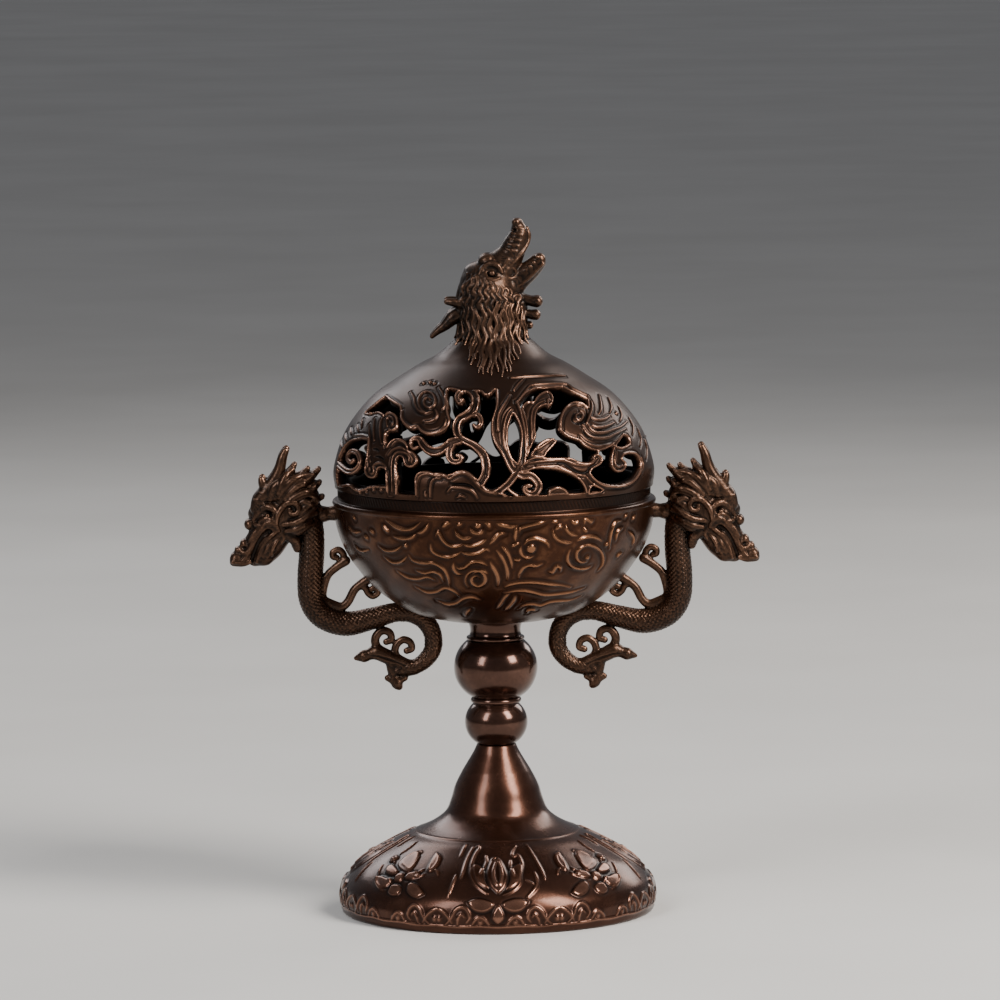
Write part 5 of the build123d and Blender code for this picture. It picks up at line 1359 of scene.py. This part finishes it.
def dragon_face(clay):
    """Skull, heavy muzzle and jaw, then lips, eyes, brows and horns laid on their skin."""
    clay.ball((-46.6, 0, 86.2), (4.9, 4.1, 4.5), 1.0, tilt=35)
    clay.limb(xz([(-48.4, 84.5), (-50.7, 81.3), (-52.9, 78.9), (-55.2, 77.2)]), [3.9, 2.7, 2.2, 1.7], 0.7)
    clay.limb(xz([(-46.4, 82.6), (-48.2, 79.6), (-49.8, 78.0), (-51.6, 77.2)]), [3.0, 2.8, 2.55, 2.0], 0.6)
    clay.ball((-51.2, 0, 86.6), (1.9, 2.2, 2.0), 0.5)
    for x, z, r in ((-51.9, 86.9, 0.95), (-52.7, 84.4, 1.25), (-52.3, 82.5, 0.75), (-53.9, 80.2, 1.05),
                    (-55.3, 78.8, 0.85)):
        clay.ball((x, 0.75, z), (r, r * 1.15, r), 0.12, mirror=True)
    clay.ball((-55.7, 0.8, 76.9), (1.45, 1.4, 1.5), 0.35, mirror=True)
    clay.limb(xz([(-56.3, 0.9, 76.2), (-54.4, 1.3, 76.1), (-52.8, 1.6, 76.5)]), [0.85, 0.85, 0.7], 0.3,
              mirror=True)
    clay.ball((-49.7, 0.9, 76.9), (1.9, 1.5, 1.5), 0.4, mirror=True)
    mouth = [(-48.6, 82.9), (-49.9, 82.0), (-50.9, 80.6), (-51.6, 79.0), (-52.2, 77.4), (-52.6, 75.6)]
    clay.trace(mouth, [0.85, 0.5, 0.42, 0.4, 0.4, 0.38], 0.0, 0.12, carve=True)
    clay.trace([(-50.0, 84.8), (-50.6, 83.3), (-51.6, 82.1), (-52.1, 80.8), (-52.8, 79.2), (-53.4, 77.8),
                (-54.6, 76.4), (-56.4, 76.4)],
               [0.4, 0.55, 0.55, 0.5, 0.5, 0.55, 0.5, 0.5], 0.1)
    clay.trace([(-47.0, 83.0), (-48.3, 81.9), (-49.5, 80.5), (-50.3, 79.0), (-50.9, 77.4), (-51.2, 76.3)],
               [0.5, 0.6, 0.55, 0.5, 0.5, 0.4], 0.1)
    clay.trace([(-50.3, 83.4), (-49.5, 84.7), (-48.3, 85.1), (-47.4, 84.8), (-46.7, 84.1), (-46.4, 83.2)],
               [0.35, 0.5, 0.55, 0.55, 0.5, 0.4], 0.1)
    clay.trace([(-47.2, 79.8), (-48.0, 78.6), (-49.0, 77.2)], [0.3, 0.45, 0.3], 0.1)
    clay.trace([(-48.0, 81.0), (-48.9, 79.6), (-49.6, 78.2)], [0.3, 0.45, 0.3], 0.05)
    clay.trace([(-46.4, 81.4), (-47.2, 80.4), (-47.8, 79.2), (-48.0, 77.8)], [0.3, 0.5, 0.5, 0.3], 0.05)
    clay.trace([(-45.6, 82.6), (-45.4, 81.4), (-46.0, 80.4)], [0.35, 0.5, 0.35], 0.05)
    clay.trace([(-50.9, 83.9), (-51.6, 82.9), (-52.3, 81.6), (-52.9, 80.6)], [0.3, 0.45, 0.45, 0.3], 0.05)
    clay.trace([(-50.2, 84.4), (-51.4, 84.6), (-52.2, 85.6)], [0.3, 0.5, 0.35], 0.05)
    clay.trace([(-54.6, 80.0), (-54.8, 79.0), (-54.0, 78.3), (-53.2, 78.7)], [0.35, 0.45, 0.45, 0.35], 0.1)
    clay.ball((-53.9, clay.skin(-53.9, 79.3), 79.3), 0.42, 0.12, mirror=True, carve=True)
    eye = clay.skin(-48.6, 86.8)
    clay.ball((-48.7, eye - 0.1, 86.7), (1.15, 0.6, 0.75), 0.15, mirror=True, carve=True)
    clay.ball((-48.8, eye - 0.3, 86.6), (0.6, 0.6, 0.5), 0.06, mirror=True)
    clay.trace([(-51.8, 85.6), (-50.9, 87.0), (-49.8, 88.0), (-48.7, 88.4), (-47.6, 88.0), (-46.9, 87.2)],
               [0.5, 0.85, 0.95, 0.9, 0.7, 0.45], -0.1)
    clay.trace([(-50.6, 85.2), (-49.4, 85.9), (-48.2, 85.8), (-47.4, 85.2)], [0.35, 0.5, 0.5, 0.35], 0.1)
    horn = xz([(-51.2, 1.5, 87.9), (-50.5, 1.7, 89.6), (-49.3, 1.9, 91.1), (-48.1, 2.1, 92.9),
               (-46.9, 2.3, 94.7), (-46.1, 2.4, 96.5),
               (-45.5, 2.4, 98.8), (-44.8, 2.3, 100.4)])
    clay.limb(horn, [1.4, 1.75, 1.75, 1.5, 1.35, 1.2, 1.05, 0.8], 0.3, mirror=True)
    clay.limb(xz([(-49.0, 2.1, 91.8), (-49.7, 2.2, 93.2), (-50.0, 2.2, 94.3)]), [1.2, 1.0, 0.75], 0.3,
              mirror=True)
    for k in range(4):
        x, z = horn[k + 1, 0], horn[k + 1, 2]
        clay.trace([(x - 1.2, z + 0.5), (x, z + 0.1), (x + 1.1, z - 0.7)], [0.2, 0.26, 0.2], 0.05)
    clay.limb(xz([(-44.4, 1.7, 82.2), (-42.9, 1.9, 80.9), (-42.5, 1.6, 79.2)]), [1.3, 1.25, 0.95], 0.25,
              mirror=True)
    clay.ball((-42.6, 0, 80.6), (1.4, 1.6, 2.2), 0.4)


MANE_ROOTS = [(-48.2, 90.2), (-47.0, 90.4), (-46.0, 89.4), (-45.2, 88.0), (-44.6, 86.4), (-44.4, 84.8),
              (-44.0, 83.4)]
MANE_TIPS = [(-42.8, 96.9), (-40.0, 95.9), (-37.6, 95.8), (-37.5, 92.9), (-37.3, 90.4), (-37.6, 87.8),
             (-38.4, 85.2)]
MANE_LAYERS = [(0.0, 1.0, 0.0), (1.5, 0.98, 0.4), (2.8, 0.88, -0.3)]
MANE_LOCKS = [
    [(-46.4, 91.4), (-45.6, 93.4), (-44.6, 95.2), (-43.2, 96.4)],
    [(-46.2, 90.4), (-44.9, 92.6), (-43.1, 94.3), (-41.0, 95.0), (-39.0, 95.2)],
    [(-45.0, 90.2), (-43.7, 91.7), (-42.0, 93.0), (-40.2, 93.5), (-38.6, 93.0), (-38.9, 92.0)],
    [(-44.2, 89.6), (-42.6, 90.7), (-40.6, 91.5), (-38.8, 91.0), (-38.4, 89.9), (-39.4, 89.6)],
    [(-42.0, 88.9), (-40.8, 89.5), (-39.4, 88.9), (-38.2, 88.2)],
    [(-45.4, 84.6), (-44.0, 84.8), (-42.8, 85.0), (-41.4, 85.7), (-39.9, 86.8), (-38.6, 88.0)],
    [(-44.8, 83.2), (-42.8, 83.6), (-41.0, 84.4), (-39.4, 85.4)],
]


def dragon_mane(clay):
    """Thick locks swept back from the face in layers, then locks and a curled ear laid on their skin."""
    clay.ball((-42.4, 0, 88.8), (4.7, 3.7, 5.3), 1.0, tilt=-35)
    for y, length, shift in MANE_LAYERS:
        for k, (root, tip) in enumerate(zip(MANE_ROOTS, MANE_TIPS)):
            root, tip = np.array(root), np.array(tip)
            tip = root + (tip - root) * length + shift * 0.5
            run = tip - root
            side = np.array([-run[1], run[0]]) / np.linalg.norm(run)
            bend = 0.7 * (1 if k < 4 else -1)
            lock = xz([root, root + 0.35 * run + side * bend, root + 0.75 * run + side * bend * 0.2,
                       tip + side * bend * 0.5], y)
            lock[:, 1] = y * np.array([0.95, 1.15, 1.05, 0.85])
            clay.limb(lock, [0.95, 1.05, 0.95, 0.6], 0.22, mirror=y > 0)
    for path in MANE_LOCKS:
        clay.trace(path, [0.55, 0.8, 0.75, 0.45], 0.1)
    for path in MANE_LOCKS[:4]:
        clay.trace(np.add(path, (0.35, -0.75)), [0.2, 0.35, 0.35, 0.2], 0.05)
    ear = [(-46.9, 84.9), (-46.6, 86.6), (-45.6, 88.3), (-44.2, 89.4), (-42.7, 89.2), (-42.0, 88.0),
           (-42.7, 86.9), (-43.9, 87.1), (-44.0, 88.0)]
    clay.trace(ear, [0.5, 0.75, 0.75, 0.65, 0.55, 0.45], 0.0)


def make_dragons():
    """The left handle, shaped as clay, and its mirror image."""
    clay = Clay((-58.6, -6.4, 46.6), (-11.0, 6.4, 101.2), CLAY_STEP)
    dragon_body(clay)
    dragon_tail(clay)
    dragon_face(clay)
    dragon_mane(clay)
    for side, mirror_x in (("left", False), ("right", True)):
        points, quads, wear_and_shade = clay.mesh(mirror_x)
        piece = make_mesh(f"dragon_{side}", points, quads, wear_and_shade=wear_and_shade)
        finish_piece(piece, DRAGON_BRONZE, "stand", "dragon_bronze", f"dragon_handle_{side}")


make_dragons()

# ==================================================================================================
# Finial: a roaring dragon head that looks up to +X, its mane flowing down over the lid
# ==================================================================================================


def finial_head(clay):
    """Neck, broad skull with a stepped brow, short ridged snout and thick open jaw."""
    clay.limb(xz([(0, 122.4), (-0.2, 125.5), (-0.5, 128.5), (-0.7, 132.0)]), [8.0, 6.9, 6.6, 6.5], 0.8)
    clay.ball((-0.9, 0, 135.2), (6.1, 5.5, 6.2), 1.2, tilt=20)
    clay.ball((4.4, 0, 130.6), (3.2, 3.4, 4.4), 1.0)
    clay.limb(xz([(0.6, 138.0), (3.6, 141.4), (5.0, 144.2), (5.9, 146.6), (5.6, 148.9)]),
              [4.3, 3.1, 2.6, 2.0, 1.15], 0.6)
    clay.limb(xz([(3.0, 134.6), (5.6, 136.8), (7.9, 138.6), (9.7, 140.4)]), [3.4, 2.6, 2.25, 1.9], 0.5)
    clay.limb(xz([(4.6, 138.7), (6.6, 140.7), (8.2, 142.5), (10.4, 145.4)]), [0.7, 0.75, 0.85, 1.3], 0.2,
              carve=True)
    clay.ball((-0.9, 1.9, 140.9), (2.0, 1.7, 1.6), 0.35, mirror=True)
    clay.ball((-3.6, 0, 138.4), (2.4, 2.6, 2.0), 0.5)
    clay.ball((5.3, 0.8, 149.0), (0.95, 0.9, 1.0), 0.25, mirror=True)
    clay.ball((10.2, 0.8, 141.0), (1.35, 1.1, 1.4), 0.3, mirror=True)
    for height in (147.9, 146.6, 145.4, 144.3, 143.2):
        left = 3.2 - 0.35 * (146 - height)
        clay.trace([(left + 0.9, height + 0.3), (left + 1.9, height), (left + 3.2, height - 0.3)],
                   [0.28, 0.4, 0.25], 0.08)
    clay.ball((4.9, clay.skin(4.9, 147.3), 147.3), 0.45, 0.12, mirror=True, carve=True)
    clay.trace([(7.6, 147.8), (8.0, 146.2), (7.6, 144.4), (6.6, 142.8), (5.2, 141.2), (3.9, 140.0)],
               [0.4, 0.5, 0.5, 0.5, 0.5, 0.4], 0.1)
    clay.trace([(10.9, 140.2), (9.3, 138.6), (7.6, 137.0), (5.8, 135.6)], [0.45, 0.5, 0.5, 0.4], 0.1)
    for x, z in ((9.7, 141.6), (8.9, 140.4), (8.1, 139.6), (7.3, 138.9)):
        clay.ball((x, clay.skin(x, z), z), (0.42, 0.36, 0.5), 0.1, mirror=True)
    loop = spiral(4.0, 138.3, 1.15, 1.15, 0, 1.0)
    clay.trace(loop, [0.4, 0.4], 0.1, steps=1)
    clay.trace([(3.4, 141.2), (2.5, 139.8), (1.7, 139.0), (1.0, 139.9), (0.4, 141.2)],
               [0.35, 0.42, 0.45, 0.42, 0.35], 0.1)
    eye = clay.skin(0.0, 138.4)
    clay.ball((0.0, eye - 0.1, 138.4), (1.1, 0.6, 0.95), 0.1, mirror=True, carve=True)
    clay.ball((0.0, eye - 0.3, 138.4), (0.75, 0.65, 0.7), 0.06, mirror=True)
    clay.trace([(2.2, 138.6), (1.2, 140.0), (-0.3, 140.4), (-1.8, 139.6), (-2.7, 138.2)],
               [0.4, 0.65, 0.75, 0.6, 0.35], 0.05)
    clay.trace([(1.6, 137.4), (0.2, 136.9), (-1.3, 137.5)], [0.28, 0.36, 0.28], 0.05)
    clay.trace([(-7.2, 132.2), (-6.4, 134.2), (-5.4, 136.0), (-4.2, 137.4)], [0.35, 0.5, 0.5, 0.35], 0.05)


def finial_curls(clay):
    """Horn, ear, beard knobs and the swirling tufts of the cheeks."""
    clay.limb(xz([(-6.2, 1.6, 129.8), (-8.3, 2.0, 128.9), (-10.2, 2.2, 127.1), (-11.7, 2.2, 126.0),
                  (-13.0, 2.2, 124.8)]),
              [1.8, 1.65, 1.1, 0.8, 0.5], 0.4, mirror=True)
    clay.limb(xz([(-6.6, 2.6, 131.6), (-8.2, 3.0, 132.1), (-9.7, 2.8, 132.3)]), [1.1, 0.9, 0.7], 0.3,
              mirror=True)
    for x, z, r in ((9.6, 132.0, 1.25), (9.3, 129.1, 1.1), (8.0, 126.9, 0.8)):
        clay.limb(xz([(4.6, 1.0, z + 1.0), (6.4, 1.2, z + 0.6), (x - 1.2, 1.3, z + 0.1), (x, 1.3, z)]),
                  [1.4, 0.85 * r, 0.85 * r, r], 0.3, mirror=True)
    for x, z, r, turn in (
        (-3.6, 134.6, 1.4, 30), (-0.4, 134.8, 1.3, 150), (-5.4, 132.6, 1.2, 260), (3.2, 134.0, 1.3, 60),
                          (2.6, 131.6, 1.2, 20),
        (-2.0, 131.9, 1.4, 200), (-3.8, 137.0, 1.0, 320), (5.4, 132.8, 1.0, 100), (0.3, 129.9, 1.0, 80),
    ):
        clay.trace(spiral(x, z, 0.25, r, turn, 1.3), [0.34, 0.42, 0.36], 0.0, 0.1, steps=1)
    for k in range(9):
        top, foot = (-5.4 + 1.0 * k, 138.4 - 0.35 * k), (-7.0 + 1.5 * k, 130.6)
        wave = 0.35 * np.array([0, 1, -1, 1, -1, 0])
        clay.trace(np.linspace(top, foot, 6) + np.column_stack([wave, 0 * wave]),
                   [0.2, 0.36, 0.38, 0.36, 0.2], 0.0)
    crest = np.array([(-1.0, 141.9), (-2.9, 140.7), (-4.7, 138.9), (-6.2, 136.6), (-7.1, 134.2),
                      (-7.5, 131.8), (-7.6, 129.4)])
    for k in range(4):
        lock = xz(crest + (0.15 * k * k, -0.1 * k), 0.85 * k)
        lock[:, 1] += 0.25 * np.array([0, 1, -1, 1, -1, 1, 0])
        clay.limb(lock, [0.3, 0.48, 0.5, 0.5, 0.4], 0.12, mirror=True)


HAIR_COUNT, HAIR_SEED = 64, 7


def finial_mane(clay):
    """Fine wavy hair from the throat to the lid's shoulder, longest at front and back."""
    draw = np.random.default_rng(HAIR_SEED)
    neck = smooth([(6.3, 133.5), (6.7, 129.5), (7.1, 126.0), (8.3, 123.6), (11.9, 120.9), (16.0, 118.7),
                   (20.3, 116.0)], 8)
    steps = 21
    for k in range(HAIR_COUNT):
        turn = 2 * math.pi * k / HAIR_COUNT
        facing = math.cos(turn) ** 2
        end = 119.2 - 2.8 * facing**2 + 2.2 * draw.random() + 5.0 * (1 - facing)
        heights = np.linspace(132.4 - 1.6 * draw.random(), end, steps)
        down = np.linspace(0, 1, steps)
        waves = (heights[0] - end) / (4.2 + 0.6 * draw.random())
        phase = 2.4 * math.sin(3 * turn) + 0.9 * draw.random()
        sway = 0.42 * np.sin(2 * math.pi * waves * down + phase) + 0.7 * (draw.random() - 0.5) * down
        radii = np.interp(-heights, -neck[:, 1], neck[:, 0]) + 0.1 + 0.3 * (k % 2)
        middle = round(turn / math.pi) * math.pi
        gather = 1 - 0.42 * down * smooth_step(abs(math.cos(turn)), 0.4, 0.9)
        a = middle + (turn + sway / radii - middle) * gather
        lock = np.column_stack([radii * np.sin(a), -radii * np.cos(a), heights])
        clay.limb(lock, [0.34, 0.42, 0.42, 0.4, 0.34, 0.2], 0.1, steps=2)


def make_finial():
    """The dragon's head on the lid, with its curls and its hair."""
    clay = Clay((-15.6, -21.6, 114.2), (12.6, 21.6, 151.2), CLAY_STEP)
    finial_head(clay)
    finial_curls(clay)
    finial_mane(clay)
    points, quads, wear_and_shade = clay.mesh(polish=0.36)
    piece = make_mesh("finial_head", points, quads, wear_and_shade=wear_and_shade)
    finish_piece(piece, DRAGON_BRONZE, "lid", "dragon_bronze", "finial_dragon")


make_finial()

# ==================================================================================================
# Carried-over CAD nodes
# ==================================================================================================

STEEL_NODES = ("tie_rod", "tie_washer", "tie_nut", "handle_screws", "finial_washer", "finial_screw")
NODE_MATERIALS = {**dict.fromkeys(STEEL_NODES, STEEL), "incense_holder": BRASS, "heat_mat": FIBRE}
for node, material in NODE_MATERIALS.items():
    for material_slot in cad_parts[node].material_slots:
        material_slot.material = material

# ==================================================================================================
# Stage: floor, lights and camera
# ==================================================================================================


def make_floor():
    """A plain floor far wider than the view."""
    mesh = bpy.data.meshes.new("floor")
    size = 9.0
    mesh.from_pydata([(-size, -size, 0), (size, -size, 0), (size, size, 0), (-size, size, 0)], [],
                     [(0, 1, 2, 3)])
    floor = bpy.data.objects.new("floor", mesh)
    bpy.context.scene.collection.objects.link(floor)
    n = Nodes("floor_paint")
    tone = n.ramp(n.noise(6, 3), [(0.3, (0.60, 0.58, 0.55)), (0.7, (0.66, 0.64, 0.61))])
    mesh.materials.append(n.to_shader(Base_Color=tone, Roughness=0.85))


MIDDLE_UP = 0.075  # half the burner's height, in metres


def softbox(name, azimuth, elevation, distance, width, height, power, colour):
    """An area light that faces the middle of the burner. Azimuth 0 is the front, and + is towards +X."""
    light = bpy.data.lights.new(name, "AREA")
    light.shape, light.size, light.size_y = "RECTANGLE", width, height
    light.energy, light.color = power, colour
    a, e = math.radians(azimuth), math.radians(elevation)
    lamp = bpy.data.objects.new(name, light)
    lamp.location = (distance * math.sin(a) * math.cos(e), -distance * math.cos(a) * math.cos(e),
                     MIDDLE_UP + distance * math.sin(e))
    lamp.rotation_euler = (math.pi / 2 - e, 0, a)
    bpy.context.scene.collection.objects.link(lamp)


def make_lights():
    """A key light, a fill, two lights from behind and a faint sky."""
    softbox("key_right", 52, 34, 0.8, 0.26, 0.5, 11, (1.0, 0.97, 0.93))
    softbox("fill_left", -42, 30, 0.9, 0.22, 0.5, 4.5, (0.95, 0.97, 1.0))
    softbox("rim_back_right", 140, 30, 0.9, 0.3, 0.5, 2.6, (1.0, 0.95, 0.9))
    softbox("rim_back_left", -150, 34, 0.9, 0.3, 0.5, 1.8, (0.95, 0.97, 1.0))
    world = bpy.data.worlds.new("studio")
    bpy.context.scene.world = world
    world.use_nodes = True
    world.node_tree.nodes["Background"].inputs["Color"].default_value = (0.9, 0.93, 1.0, 1)
    world.node_tree.nodes["Background"].inputs["Strength"].default_value = 0.2


CAMERA_BACK, CAMERA_UP, AIM_UP = 1.432, 0.247, 0.0891
VIEW_DEGREES, ROLL_DEGREES, SHIFT_X = 8.56, 0.55, 0.0059
SENSOR_MM = 36.0


def make_camera():
    """A long lens in front, rolled and shifted a little."""
    data = bpy.data.cameras.new("camera")
    data.sensor_width = SENSOR_MM
    data.lens = SENSOR_MM / 2 / math.tan(math.radians(VIEW_DEGREES / 2))
    data.clip_start, data.clip_end = 0.05, 60.0
    data.shift_x = SHIFT_X
    camera = bpy.data.objects.new("camera", data)
    camera.location = (0, -CAMERA_BACK, CAMERA_UP)
    pitch = math.atan2(CAMERA_UP - AIM_UP, CAMERA_BACK)
    camera.rotation_mode = "QUATERNION"
    aim = Euler((math.pi / 2 - pitch, 0, 0)).to_quaternion()
    camera.rotation_quaternion = aim @ Quaternion((0, 0, 1), math.radians(-ROLL_DEGREES))
    bpy.context.scene.collection.objects.link(camera)
    bpy.context.scene.camera = camera


make_floor()
make_lights()
make_camera()
